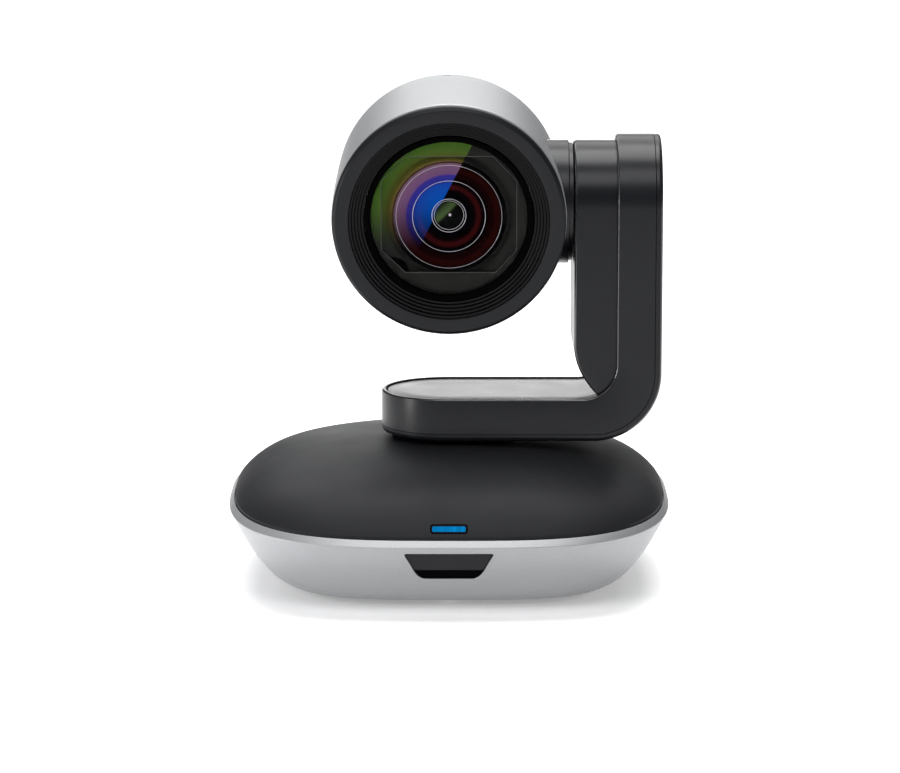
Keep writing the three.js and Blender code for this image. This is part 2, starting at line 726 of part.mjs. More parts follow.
// head
place(head, "head_shell", "silver", headShell());
place(head, "head_rear_cap", "black", rearCap());
place(head, "front_bezel", "black", frontBezel());
place(head, "glass_ring", "gloss", glassRing());
place(head, "front_glass", "glass", frontGlass());
place(head, "lens_mask", "mask", lensMask());
place(head, "lens_barrel", "black", tube("y", 18, BARREL_BORE_R, [-17.3, 14.3], [0, 0], 28));
place(head, "front_lens", "lens", frontLens());
place(head, "zoom_lens_group", "lens", lensCell([-9.5, -6], 1));
place(head, "focus_lens_group", "lens", lensCell([5, 7.5], -1));
[ROD_X, -ROD_X].forEach((x, i) => {
  place(head, `guide_rod_${i + 1}`, "steel", bar("y", 1, [-10.8, 14.2], [x, 0], 12));
});
place(head, "zoom_screw", "brass", bar("y", 1, [-10.8, 16.6], [0, SCREW_Z], 12));
place(head, "focus_screw", "brass", bar("y", 1, [2, 16.6], [0, -SCREW_Z], 12));
place(head, "zoom_motor", "alloy", bar("y", 3.6, [16.9, 25], [0, SCREW_Z], 20));
place(head, "focus_motor", "alloy", bar("y", 3.6, [16.9, 25], [0, -SCREW_Z], 20));
place(head, "image_sensor", "gloss", box([-4.5, 4.5], [12.4, 14.3], [-3.5, 3.5]));
place(head, "sensor_board", "board", sensorBoard());
place(head, "camera_chassis", "alloy", cameraChassis());
place(head, "tilt_hub", "black", tiltHub());
place(camera, "tilt_shaft", "steel", tube("x", 4, 2.4, [26, 59.8], [0, TILT_Z]));
place(camera, "tilt_gear", "gear", tiltGear());

export default camera;
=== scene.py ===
"""A desktop pan-tilt-zoom camera, finished over its CAD frame.

Lengths in the code are millimetres until a mesh is made.
"""

import math

import bmesh
import bpy
from mathutils import Matrix, Vector


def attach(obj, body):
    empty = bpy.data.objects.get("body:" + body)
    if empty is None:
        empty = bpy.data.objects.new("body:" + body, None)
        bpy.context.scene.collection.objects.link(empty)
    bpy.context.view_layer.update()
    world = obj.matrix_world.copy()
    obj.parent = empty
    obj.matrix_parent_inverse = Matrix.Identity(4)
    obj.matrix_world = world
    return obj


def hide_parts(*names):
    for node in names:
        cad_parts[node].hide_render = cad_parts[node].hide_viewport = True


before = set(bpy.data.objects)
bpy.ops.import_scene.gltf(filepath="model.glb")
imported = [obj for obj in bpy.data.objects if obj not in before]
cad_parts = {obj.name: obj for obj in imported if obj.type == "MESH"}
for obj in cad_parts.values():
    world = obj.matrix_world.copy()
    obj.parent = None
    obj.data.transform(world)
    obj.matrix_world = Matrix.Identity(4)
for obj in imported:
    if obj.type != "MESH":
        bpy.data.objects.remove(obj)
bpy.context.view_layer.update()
MM = 0.001

# ---------- sizes shared with the CAD model
BASE_HALF_WIDTH, BASE_HALF_DEPTH = 65.0, 64.5
DEPTH_RATIO = BASE_HALF_DEPTH / BASE_HALF_WIDTH
LIP_OUTER_Z, LIP_TOP_Z, LIP_TOP_R = 21.3, 23.1, 63.6
SIDE_LIFT, LIFT_START_Z = 3.76, 5.2  # the lip arches up by this much at the middle of each side
DOME_FLAT_R, DOME_TOP_Z, DOME_RISE, DOME_HALF = 20.0, 42.0, 18.9, 63.6
SHELL_BOTTOM_Z, BOTTOM_OPENING = 1.5, 43.5
DOME_EDGE_R, DOME_INNER_HALF, DOME_BEND = DOME_HALF - 0.35, 61.4, 0.82
RIM_EXPONENT = 3.34
LED_Z = 26.2
TILT_Z, REST_TILT = 112.0, math.radians(7)
ARM_R, ARM_BOTTOM_Z, ARM_BAR_TOP_Z = 20.0, 43.5, 56.0
ARM_INNER_X, ARM_OUTER_X = 49.1, 62.3
ARM_OUTER_FILLET, ARM_INNER_FILLET = 20.0, 10.3
HOUSING_R, HOUSING_X, HOUSING_FOOT_Z = 18.2, 36.6, 71.0  # the curved foot ends at HOUSING_FOOT_Z
HUB_R, HUB_X = 18.2, 35.2
FACE_Y = -24.9
HEAD_FRAME = Matrix.Translation((0, 0, TILT_Z * MM)) @ Matrix.Rotation(REST_TILT, 4, "X")
ROUND = 72  # quarter of the sides of a large turned piece


# ---------- camera, floor and light
def make_camera():
    data = bpy.data.cameras.new("photo_camera")
    data.lens = 152.0
    data.sensor_width = 36.0
    data.clip_end = 50.0
    camera = bpy.data.objects.new("photo_camera", data)
    camera.location = (0.0003, -1.115, 0.254)
    camera.rotation_euler = (math.radians(90 - 10.05), 0, 0)
    bpy.context.scene.collection.objects.link(camera)
    bpy.context.scene.camera = camera


def area_light(name, place, target, size, watts):
    data = bpy.data.lights.new(name, "AREA")
    data.shape = "RECTANGLE"
    data.size, data.size_y = size
    data.energy = watts
    light = bpy.data.objects.new(name, data)
    light.location = place
    light.rotation_euler = (Vector(target) - Vector(place)).to_track_quat("-Z", "Y").to_euler()
    light.visible_camera = False
    bpy.context.scene.collection.objects.link(light)


def stage_surface(name, verts, faces, colour, glow):
    """Part of the plain studio, with a glow of its own that isn't sampled as a light."""
    mesh = bpy.data.meshes.new(name)
    mesh.from_pydata(verts, [], faces)
    material = bpy.data.materials.new("pale_" + name)
    material.use_nodes = True
    white = (1, 1, 1, 1)
    inputs = {"Base Color": (*colour, 1), "Roughness": 0.9, "Emission Color": white, "Emission Strength": glow}
    for socket, value in inputs.items():
        material.node_tree.nodes["Principled BSDF"].inputs[socket].default_value = value
    material.cycles.emission_sampling = "NONE"
    mesh.materials.append(material)
    surface = place_object(name, mesh)
    return surface


def make_stage():
    world = bpy.data.worlds.new("studio")
    world.use_nodes = True
    sky = world.node_tree.nodes["Background"]
    sky.inputs["Color"].default_value = (1, 1, 1, 1)
    sky.inputs["Strength"].default_value = 0.11
    bpy.context.scene.world = world
    bpy.context.scene.view_settings.view_transform = "Standard"

    half = 6.0
    corners = [(-half, -half, 0), (half, -half, 0), (half, half, 0), (-half, half, 0)]
    stage_surface("floor", corners, [(0, 1, 2, 3)], (0.93, 0.93, 0.935), 0.3)
    # a white wall round the floor that only the camera sees, so that it adds no light
    sides, radius, height = 96, 2.7, 2.0
    verts = [(radius * c, radius * s, z) for z in (0, height) for c, s in polygon_points(sides)]
    faces = [(k, (k + 1) % sides, sides + (k + 1) % sides, sides + k) for k in range(sides)]
    wall = stage_surface("backdrop_wall", verts, faces, (0, 0, 0), 1.0)
    wall.visible_diffuse = wall.visible_glossy = wall.visible_transmission = wall.visible_shadow = False

    centre = (0, 0, 0.07)
    area_light("overhead", (0, 0.24, 1.42), centre, (1.1, 0.9), 23)
    area_light("front_high", (0, -0.85, 1.15), centre, (1.0, 0.6), 7)
    area_light("front_left", (-0.9, -1.2, 0.9), centre, (0.8, 0.8), 2.5)
    area_light("side_left", (-1.2, -0.44, 0.16), centre, (0.3, 0.3), 5)
    area_light("backdrop", (0.0, 2.6, 0.36), centre, (0.7, 0.6), 4.5)
    area_light("far_floor", (0.0, 3.2, 2.4), (0, 3.0, 0), (4.0, 3.0), 80)


# ---------- materials
class Nodes:
    """A small builder for one node material."""

    def __init__(self, name, colour, roughness, metallic=0.0, **sockets):
        self.material = bpy.data.materials.new(name)
        self.material.use_nodes = True
        self.tree = self.material.node_tree
        self.shader = self.tree.nodes["Principled BSDF"]
        self.colour = (*colour, 1)
        self.set("Base Color", self.colour)
        self.set("Roughness", roughness)
        self.set("Metallic", metallic)
        for socket, value in sockets.items():
            self.set(socket.replace("_", " "), value)
        self.roughness = roughness
        self.place = self.add("ShaderNodeTexCoord").outputs["Object"]

    def set(self, socket, value):
        self.shader.inputs[socket].default_value = value

    def add(self, kind, inputs=None, **settings):
        """A new node, with its settings and these of its inputs."""
        node = self.tree.nodes.new(kind)
        for key, value in settings.items():
            setattr(node, key, value)
        for socket, value in (inputs or {}).items():
            node.inputs[socket].default_value = value
        return node

    def link(self, output, target):
        self.tree.links.new(output, target)

    def noise(self, size_mm, detail=2.0, roughness=0.5):
        inputs = {"Scale": 1 / (size_mm * MM), "Detail": detail, "Roughness": roughness}
        node = self.add("ShaderNodeTexNoise", inputs)
        self.link(self.place, node.inputs["Vector"])
        return node.outputs["Fac"]

    def feed(self, socket, value):
        """Sets a socket to a number or a colour, or links another node's output to it."""
        if isinstance(value, bpy.types.NodeSocket):
            self.link(value, socket)
        else:
            socket.default_value = value

    def map_range(self, value, start, end, low=0.0, high=1.0, kind="LINEAR"):
        inputs = {"From Min": start, "From Max": end, "To Min": low, "To Max": high}
        node = self.add("ShaderNodeMapRange", inputs, interpolation_type=kind)
        self.link(value, node.inputs["Value"])
        return node.outputs["Result"]

    def spread(self, value, low, high):
        """A noise's middle half, stretched from low to high."""
        return self.map_range(value, 0.25, 0.75, low, high)

    def calculate(self, operation, *values):
        node = self.add("ShaderNodeMath", operation=operation)
        for socket, value in zip(node.inputs, values):
            self.feed(socket, value)
        return node.outputs["Value"]

    def mix(self, factor, first, second):
        node = self.add("ShaderNodeMix", data_type="RGBA")
        self.link(factor, node.inputs["Factor"])
        self.feed(node.inputs["A"], first)
        self.feed(node.inputs["B"], second)
        return node.outputs["Result"]

    def stretch(self, scale):
        """Scales the place that later noises read."""
        node = self.add("ShaderNodeMapping", {"Scale": scale})
        self.link(self.place, node.inputs["Vector"])
        self.place = node.outputs["Vector"]

    def vary_colour(self, value, amount):
        """The base colour, darker and lighter by this share."""
        dark = [c * (1 - amount) for c in self.colour[:3]]
        light = [min(1, c * (1 + amount)) for c in self.colour[:3]]
        colour = self.mix(self.spread(value, 0, 1), (*dark, 1), (*light, 1))
        self.link(colour, self.shader.inputs["Base Color"])

    def vary_roughness(self, value, amount):
        rough = self.spread(value, self.roughness - amount, self.roughness + amount)
        self.link(rough, self.shader.inputs["Roughness"])

    def bump(self, value, depth_mm, strength=1.0):
        node = self.add("ShaderNodeBump", {"Distance": depth_mm * MM, "Strength": strength})
        self.link(value, node.inputs["Height"])
        self.link(node.outputs["Normal"], self.shader.inputs["Normal"])


def plastic(name, colour, roughness, grain_mm=0.35, depth_mm=0.02, tone=0.1, specular=0.5):
    """Moulded plastic with a fine sparked texture and slow changes of gloss."""
    m = Nodes(name, colour, roughness, Specular_IOR_Level=specular)
    m.vary_colour(m.noise(grain_mm, 3), tone)
    m.vary_roughness(m.noise(14, 2), 0.03)
    m.bump(m.noise(grain_mm, 2), depth_mm, 0.5)
    return m.material


def silver_paint():
    """Metallic paint: a bright flake at a fine scale, over a slightly uneven coat."""
    m = Nodes("silver_paint", (0.375, 0.38, 0.39), 0.42, 0.6)
    m.vary_colour(m.noise(0.32, 4, 0.7), 0.13)
    m.vary_roughness(m.noise(0.6, 2), 0.05)
    m.bump(m.noise(0.4, 3, 0.6), 0.012, 0.5)
    return m.material


def metal(name, colour, roughness, stretch=(1, 1, 1)):
    m = Nodes(name, colour, roughness, 1.0)
    m.stretch(stretch)
    m.vary_colour(m.noise(0.5, 3), 0.07)
    m.vary_roughness(m.noise(1.5, 3), 0.07)
    m.bump(m.noise(0.3, 2), 0.005, 0.4)
    return m.material


def glowing(name, colour, strength):
    """The lamp's diffuser, with fine upright lines."""
    m = Nodes(name, tuple(c * 0.1 for c in colour), 0.5, Specular_IOR_Level=0.0)
    m.stretch((1, 0.02, 0.05))
    lines = m.spread(m.noise(0.5, 1), strength * 0.7, strength * 1.3)
    m.set("Emission Color", (*colour, 1))
    m.link(lines, m.shader.inputs["Emission Strength"])
    return m.material


MATERIALS = {}


def make_materials():
    MATERIALS.update(
        silver=silver_paint(),
        cover=plastic("cover_plastic", (0.010, 0.0105, 0.0125), 0.55, 0.4, 0.02, 0.14, specular=0.2),
        arm=plastic("arm_plastic", (0.0060, 0.0066, 0.0085), 0.30, 0.3, 0.012, 0.10, specular=0.27),
        plate=plastic("arm_plate_plastic", (0.0060, 0.0066, 0.0085), 0.29, 0.3, 0.008, 0.08, specular=0.26),
        # the arm's rounded edges: a little lighter than the arm plastic as a painted highlight, and glossier
        # so they catch the lights
        arm_edge=plastic("arm_edge_plastic", (0.010, 0.0105, 0.0125), 0.2, 0.3, 0.004, 0.08, specular=1.0),
        bezel=plastic("bezel_plastic", (0.0085, 0.009, 0.0108), 0.36, 0.3, 0.01, 0.10, specular=0.18),
        rib=plastic("rib_plastic", (0.0015, 0.0015, 0.0018), 0.3, 0.3, 0.006, 0.10, specular=0.12),
        black=plastic("black_plastic", (0.008, 0.008, 0.009), 0.5, 0.4, 0.02, 0.12, specular=0.2),
        deep=plastic("deep_black", (0.0015, 0.0015, 0.0017), 0.5, 0.6, 0.004, 0.1, specular=0.0),
        gloss=plastic("gloss_black", (0.002, 0.002, 0.003), 0.25, 0.8, 0.001, 0.1, specular=0.04),
        mask=lens_part("mask_plastic", MASK_STOPS, 0.55),
        optic=lens_part("front_lens_glass", OPTIC_STOPS, 0.2),
        pupil=pupil_material(),
        glint=plastic("pupil_glint", (0.75, 0.6, 0.75), 0.2, 0.8, 0.001, 0.1),
        fine=metal("fine_edge", (0.62, 0.63, 0.65), 0.35),
        # a rim lighter than the plate round the lens opening: a painted highlight on its edge
        aperture=plastic("aperture_edge_highlight", (0.065, 0.065, 0.065), 0.4, 0.6, 0.002, 0.1),
        rubber=plastic("foot_rubber", (0.018, 0.018, 0.018), 0.85, 0.6, 0.03, 0.2),
        gear=plastic("gear_acetal", (0.72, 0.70, 0.63), 0.42, 0.8, 0.005, 0.05),
        board=plastic("solder_mask", (0.012, 0.10, 0.055), 0.35, 0.6, 0.01, 0.15),
        sensor=plastic("sensor_glass", (0.01, 0.02, 0.03), 0.1, 1.0, 0.001, 0.1),
        brass=metal("turned_brass", (0.62, 0.45, 0.19), 0.32),
        steel=metal("ground_steel", (0.56, 0.57, 0.58), 0.28),
        alloy=metal("cast_alloy", (0.46, 0.47, 0.48), 0.45),
        can=metal("motor_can", (0.42, 0.43, 0.44), 0.3, (1, 1, 0.1)),
        led=glowing("led_diffuser", (0.001, 0.14, 0.36), 1.25),
    )


# ---------- mesh code
def rounded(points, steps=5, ring=True):
    """An outline of (a, b) or (a, b, radius) corners, with each radius turned into a short curve."""
    out = []
    count = len(points)
    for i, point in enumerate(points):
        here = Vector(point[:2])
        radius = point[2] if len(point) > 2 else 0
        if radius <= 0 or (not ring and i in (0, count - 1)):
            out.append((here.x, here.y))
            continue
        before = Vector(points[i - 1][:2]) - here
        after = Vector(points[(i + 1) % count][:2]) - here
        turn = before.angle(after)
        reach = min(radius / math.tan(turn / 2), 0.49 * before.length, 0.49 * after.length)
        start, end = here + before.normalized() * reach, here + after.normalized() * reach
        for k in range(steps + 1):
            t = k / steps
            p = start * (1 - t) ** 2 + here * (2 * t * (1 - t)) + end * t**2
            out.append((p.x, p.y))
    return out


def clean(mesh, weld=False):
    """Turns every face outwards, after joining the points that meet."""
    bm = bmesh.new()
    bm.from_mesh(mesh)
    if weld:
        bmesh.ops.remove_doubles(bm, verts=bm.verts, dist=2e-6)
        bmesh.ops.dissolve_degenerate(bm, edges=bm.edges, dist=1e-6)
    bmesh.ops.recalc_face_normals(bm, faces=bm.faces)
    bm.to_mesh(mesh)
    bm.free()


def build(name, rings, material, ring_of_rings=False, matrix=None, sharp=32, edge=None):
    """A mesh from closed loops of equal length. Loops that shrink to a point or a line close the piece.

    edge, as (material, first loop, last loop), gives the faces between those loops a second material.
    """
    count = len(rings[0])
    verts = [tuple(c * MM for c in p) for ring in rings for p in ring]
    faces = []
    for i in range(len(rings) if ring_of_rings else len(rings) - 1):
        a, b = i * count, (i + 1) % len(rings) * count
        for k in range(count):
            n = (k + 1) % count
            faces.append((a + k, a + n, b + n, b + k))
    mesh = bpy.data.meshes.new(name)
    mesh.from_pydata(verts, [], faces)
    if edge:
        mesh.materials.append(None)
        mesh.materials.append(MATERIALS[edge[0]])
        for i in range(edge[1] * count, edge[2] * count):
            mesh.polygons[i].material_index = 1
    clean(mesh, weld=True)
    return finish_mesh(name, mesh, material, matrix, sharp)


def smooth(mesh, sharp=32):
    """Smooth shading, with edges kept sharp above this angle in degrees."""
    for polygon in mesh.polygons:
        polygon.use_smooth = True
    mesh.set_sharp_from_angle(angle=math.radians(sharp))


def place_object(name, mesh, matrix=None):
    obj = bpy.data.objects.new(name, mesh)
    bpy.context.scene.collection.objects.link(obj)
    if matrix is not None:
        obj.matrix_world = matrix
    return obj


def finish_mesh(name, mesh, material, matrix=None, sharp=32):
    """The object of a new mesh, with its first material and its shading."""
    chosen = MATERIALS[material] if isinstance(material, str) else material
    if mesh.materials:
        mesh.materials[0] = chosen
    else:
        mesh.materials.append(chosen)
    smooth(mesh, sharp)
    obj = place_object(name, mesh, matrix)
    bpy.context.view_layer.update()
    return obj


def polygon_points(sides):
    """The cosine and sine of each corner of a regular polygon."""
    return [(math.cos(a), math.sin(a)) for a in (2 * math.pi * k / sides for k in range(sides))]


def circle(radius, height, axis, sides, centre=(0, 0)):
    """A closed loop round one axis, at this height along it."""
    loop = []
    for c, s in polygon_points(sides):
        u, v = centre[0] + radius * c, centre[1] + radius * s
        loop.append({"x": (height, u, v), "y": (u, height, v), "z": (u, v, height)}[axis])
    return loop


def turned(name, profile, material, axis="y", centre=(0, 0), sides=None, ring=True, matrix=None, sharp=32):
    """A turned piece from (radius, height) points, closed on itself, or from axis to axis with ring off."""
    sides = sides or ROUND * 4
    rings = [circle(max(r, 0), h, axis, sides, centre) for r, h in profile]
    return build(name, rings, material, ring, matrix, sharp)


def head_turned(name, profile, material, axis="y", **options):
    """A piece turned about one of the head's own axes."""
    return turned(name, profile, material, axis, matrix=HEAD_FRAME, **options)


def unit(value):
    return min(1.0, max(0.0, value))


def side_lift(r, y, z):
    """How far the base's skins are raised here: nothing at the front and back, most along the sides."""
    below = unit((z - LIFT_START_Z) / (LIP_OUTER_Z - LIFT_START_Z))
    above = unit((DOME_TOP_Z - z) / (DOME_TOP_Z - LIP_TOP_Z))
    return SIDE_LIFT * below * above * unit((r - DOME_FLAT_R) / 14) * max(0, 1 - (y / BASE_HALF_DEPTH) ** 2)


def squircle_loop(r, z, exponent, sides):
    """A superellipse as wide as r and in the base's proportions, raised along its sides."""
    loop = []
    for c, s in polygon_points(sides):
        reach = r * (abs(c) ** exponent + abs(s / DEPTH_RATIO) ** exponent) ** (-1 / exponent)
        loop.append((reach * c, reach * s, z + side_lift(r, reach * s, z)))
    return loop


def wall_exponent(z):
    return RIM_EXPONENT + 0.38 * unit((20 - z) / 18.5)


def dome_exponent(r):
    t = unit((r - 33) / 29)
    return 2 + (RIM_EXPONENT - 2) * t * t * (3 - 2 * t)


def bezier(start, control, end, count):
    a, b, c = Vector(start), Vector(control), Vector(end)
    points = []
    for k in range(count + 1):
        t = k / count
        points.append(tuple(a * (1 - t) ** 2 + b * (2 * t * (1 - t)) + c * t**2))
    return points


def cutter(name, outline, limits, plane="xz", matrix=None):
    """A prism to cut with: an outline in the plane "xz" or "xy", carried along the third axis."""
    count = len(outline)
    verts = []
    for depth in limits:
        for u, v in outline:
            p = (u, depth, v) if plane == "xz" else (u, v, depth)
            verts.append(tuple(c * MM for c in p))
    faces = [tuple(range(count)), tuple(range(2 * count - 1, count - 1, -1))]
    faces += [(k, (k + 1) % count, count + (k + 1) % count, count + k) for k in range(count)]
    mesh = bpy.data.meshes.new(name)
    mesh.from_pydata(verts, [], faces)
    clean(mesh)
    return place_object(name, mesh, matrix)


def cut(obj, tool, operation="DIFFERENCE", sharp=32):
    """A boolean with a tool object, applied to the mesh; the tool is removed."""
    modifier = obj.modifiers.new("cut", "BOOLEAN")
    modifier.operation = operation
    modifier.solver = "EXACT"
    modifier.object = tool
    bpy.context.view_layer.update()
    graph = bpy.context.evaluated_depsgraph_get()
    result = bpy.data.meshes.new_from_object(obj.evaluated_get(graph), depsgraph=graph)
    obj.modifiers.remove(modifier)
    old = obj.data
    obj.data = result
    result.name = obj.name
    bpy.data.meshes.remove(old)
    bpy.data.objects.remove(tool)
    smooth(result, sharp)
    return obj


def prism(name, outline, limits, material, matrix=None):
    """A piece of the same kind, carried along Y."""
    obj = cutter(name, outline, limits, matrix=matrix)
    obj.data.materials.append(MATERIALS[material])
    smooth(obj.data)
    return obj


def rectangle(x, z, corner, steps=4):
    """A rectangle with rounded corners, from its (low, high) in each direction."""
    corners = ((x[0], z[0]), (x[1], z[0]), (x[1], z[1]), (x[0], z[1]))
    return rounded([(u, v, corner) for u, v in corners], steps)


def slot_outline(half_length, half_height, centre_z, corner):
    return rectangle((-half_length, half_length), (centre_z - half_height, centre_z + half_height), corner, 6)


def window_outline(grow):
    """The receiver window: wide at the top, with its lower corners rounded."""
    top, bottom = 19.4 + grow, 10.9 - grow
    half_top, half_bottom = 12.75 + grow * 1.3, 6.6 + grow * 0.6
    corner = bezier((half_top - 1.3, top), (half_top + 0.25, top), (half_top - 0.4, top - 1.1), 6)
    side = bezier((half_top - 2.1, top - 4.4), (half_bottom + 2.4, bottom), (half_bottom, bottom), 12)
    right = [*corner, *side]
    return right + [(-x, z) for x, z in reversed(right)]


def add_piece(obj, body, slot, *nodes, own_axes=False):
    """Puts a piece on a body, in place of these CAD nodes.

    Its mesh goes into the frame's axes, unless its material reads the piece's own axes.
    """
    if not own_axes:
        obj.data.transform(obj.matrix_world)
        obj.matrix_world = Matrix()
    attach(obj, body)
    if nodes:
        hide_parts(*nodes)
    return obj


# ---------- base
SIDES = ROUND * 4


def outer_wall(inset=0.0, count=26):
    points = bezier((BASE_HALF_WIDTH, LIP_OUTER_Z), (54.0, 2.0), (BOTTOM_OPENING, SHELL_BOTTOM_Z), count)
    return [(r - inset, z) for r, z in points]


def dome_height(r, half=DOME_HALF, rise=DOME_RISE):
    return LIP_TOP_Z + rise * max(0, 1 - min(1, r / half) ** 4) ** DOME_BEND


def make_lower_shell():
    edge = [(64.93, 20.9), (BASE_HALF_WIDTH, LIP_OUTER_Z, 0.45), (LIP_TOP_R, LIP_TOP_Z, 0.2), (63.5, 22.6)]
    lip = rounded(edge, 6, ring=False)
    inside = bezier((61.3, 19.0), (53.0, 6.0), (45.0, 5.2), 12)
    profile = [*reversed(outer_wall()[1:]), *lip[1:], (63.5, LIP_OUTER_Z), (61.5, LIP_OUTER_Z), *inside]
    profile += [(36.0, 5.2), (36.0, 3.6), (BOTTOM_OPENING - 0.2, 3.6), (BOTTOM_OPENING - 0.2, 1.9)]
    rings = [squircle_loop(r, z, wall_exponent(z), SIDES) for r, z in profile]
    shell = build("base_shell", rings, "silver", True, sharp=28)
    cut(shell, cutter("window_cut", window_outline(0.15), (-70, -48)), sharp=28)
    recess = rectangle((-21.3, 21.3), (6.2, 19.6), 1.2, 5)
    cut(shell, cutter("port_cut", recess, (46, 70)), sharp=28)
    add_piece(shell, "base", "silver_paint", "base_lower_shell")


def make_dome():
    steps = 44
    shares = [1 - (1 - k / steps) ** 2.2 for k in range(steps + 1)]  # closer together towards the edge
    radii = [DOME_FLAT_R + (DOME_EDGE_R - DOME_FLAT_R) * share for share in shares]
    skin = [(r, dome_height(r)) for r in radii]
    blend = [(9.3, DOME_TOP_Z - 0.4), (9.7, DOME_TOP_Z), (14.0, DOME_TOP_Z), (18.0, DOME_TOP_Z)]
    profile = [*blend, *skin[1:], (DOME_EDGE_R, 21.6), (61.2, 21.6)]
    inside = (60.6, 59, 57, 53, 48, 40, 32, 22)
    profile += [(r, dome_height(r, DOME_INNER_HALF, DOME_RISE - 2.1)) for r in inside]
    profile += [(16, 39.9), (9.3, 39.9)]
    rings = [squircle_loop(r, z, dome_exponent(r), SIDES) for r, z in profile]
    dome = build("base_dome", rings, "cover", True)
    cut(dome, cutter("led_cut", slot_outline(5.35, 1.25, LED_Z, 0.85), (-70, -50)))
    add_piece(dome, "base", "cover_plastic", "base_top_cover")


def front_of(x, z, radius_at, exponent_at):
    """The y of a skin's front at this x and height, on a skin that has been raised along its sides."""
    y, flat = -BASE_HALF_DEPTH, z
    for _ in range(5):
        r = radius_at(flat)
        n = exponent_at(r, flat)
        y = -DEPTH_RATIO * max(0, r**n - abs(x) ** n) ** (1 / n)
        flat = z - side_lift(r, y, flat)
    return y


WALL_POINTS = outer_wall(count=90)


def wall_front(x, z, inset):
    """The y of the silver wall's front, drawn in by a little."""

    def radius_at(height):
        for (r0, z0), (r1, z1) in zip(WALL_POINTS, WALL_POINTS[1:]):
            if z1 <= height <= z0:
                return r0 + (r1 - r0) * (z0 - height) / (z0 - z1) - inset
        return BASE_HALF_WIDTH - inset

    return front_of(x, z, radius_at, lambda r, height: wall_exponent(height))


def dome_front(x, z, inset):
    """The y of the dark cover's front, drawn in by a little."""

    def radius_at(height):
        share = unit((height - LIP_TOP_Z) / DOME_RISE)
        return DOME_HALF * (1 - share ** (1 / DOME_BEND)) ** 0.25 - inset

    return front_of(x, z, radius_at, lambda r, height: dome_exponent(r))


def shrunk(outline, centre, share):
    return [(centre[0] + (x - centre[0]) * share, centre[1] + (z - centre[1]) * share) for x, z in outline]


def resampled(outline, spacing):
    """The closed outline again with points no further apart than the spacing."""
    out = []
    for (x0, z0), (x1, z1) in zip(outline, outline[1:] + outline[:1]):
        steps = max(1, math.ceil(math.hypot(x1 - x0, z1 - z0) / spacing))
        out += [(x0 + (x1 - x0) * k / steps, z0 + (z1 - z0) * k / steps) for k in range(steps)]
    return out


def skin_panel(name, outline, surface, inset, thickness, material, edge=0.25, centre=(0, 0)):
    """A panel that follows a curved surface inside an outline, with a rounded front edge."""
    outline = resampled(outline, 0.6)
    rings = []
    for share in (0.02, 0.25, 0.5, 0.75, 0.93):
        rings.append([(x, surface(x, z, inset), z) for x, z in shrunk(outline, centre, share)])
    for share, sink in ((0.975, 0.02), (0.992, edge * 0.4), (1.0, edge), (1.0, thickness)):
        rings.append([(x, surface(x, z, inset) + sink, z) for x, z in shrunk(outline, centre, share)])
    for share in (0.6, 0.02):
        rings.append([(x, surface(x, z, inset) + thickness, z) for x, z in shrunk(outline, centre, share)])
    rings[0] = [(centre[0], surface(centre[0], centre[1], inset), centre[1])] * len(outline)
    rings[-1] = [(centre[0], surface(centre[0], centre[1], inset) + thickness, centre[1])] * len(outline)
    return build(name, rings, material, False, sharp=40)


def window_material():
    """Infrared-passing plastic: a clouded upper field over a deep black lower one."""
    m = Nodes("ir_window_plastic", (0.03, 0.03, 0.033), 0.3, Specular_IOR_Level=0.0)
    split = m.add("ShaderNodeSeparateXYZ")
    m.link(m.place, split.inputs["Vector"])
    upper = m.map_range(split.outputs["Z"], 13.75 * MM, 13.95 * MM, kind="SMOOTHSTEP")
    colour = m.mix(upper, (0.002, 0.002, 0.003, 1), (0.030, 0.030, 0.033, 1))
    m.link(colour, m.shader.inputs["Base Color"])
    m.bump(m.noise(2.0, 1), 0.002, 0.3)
    return m.material


def rim_tube(name, outline, surface, inset, radius, material, matrix=None):
    """A fine rounded edge that follows a closed outline on a surface."""
    outline = resampled(outline, 0.5)
    centre_line = [Vector((x, surface(x, z, inset), z)) for x, z in outline]
    count = len(centre_line)
    corners = [(radius * c, radius * s) for c, s in polygon_points(8)]
    rings = []
    for i, point in enumerate(centre_line):
        along = (centre_line[(i + 1) % count] - centre_line[i - 1]).normalized()
        out = Vector((0, -1, 0))
        side = along.cross(out).normalized()
        up = side.cross(along).normalized()
        rings.append([tuple(point + side * across + up * rise) for across, rise in corners])
    return build(name, rings, material, True, matrix, sharp=80)


def make_front_details():
    window = skin_panel(
        "ir_window_panel", window_outline(-0.12), wall_front, 0.35, 1.4, window_material(), 0.2, (0, 15.6)
    )
    add_piece(window, "base", "ir_window", "ir_window")
    rim = rim_tube("ir_window_rim", window_outline(0.17), wall_front, 0.10, 0.16, "silver")
    add_piece(rim, "base", "silver_paint")
    slot = slot_outline(5.2, 1.12, LED_Z, 0.75)
    bezel = skin_panel("led_bezel_ring", slot, dome_front, 0.12, 1.3, "gloss", 0.15, (0, LED_Z))
    add_piece(bezel, "base", "gloss_black", "led_bezel")
    slot = slot_outline(4.75, 0.68, LED_Z, 0.42)
    lens = skin_panel("led_diffuser", slot, dome_front, 0.02, 0.9, "led", 0.12, (0, LED_Z))
    add_piece(lens, "base", "led_blue", "led_lens")


FOOT_PLACES = ((28, -28), (28, 28), (-28, 28), (-28, -28))
SCREW_PLACES = ((39.4, 0), (0, 39.4), (-39.4, 0), (0, -39.4))
JACK_PLACE = (-11, 12.8)  # X and Z of the power jack, at the back


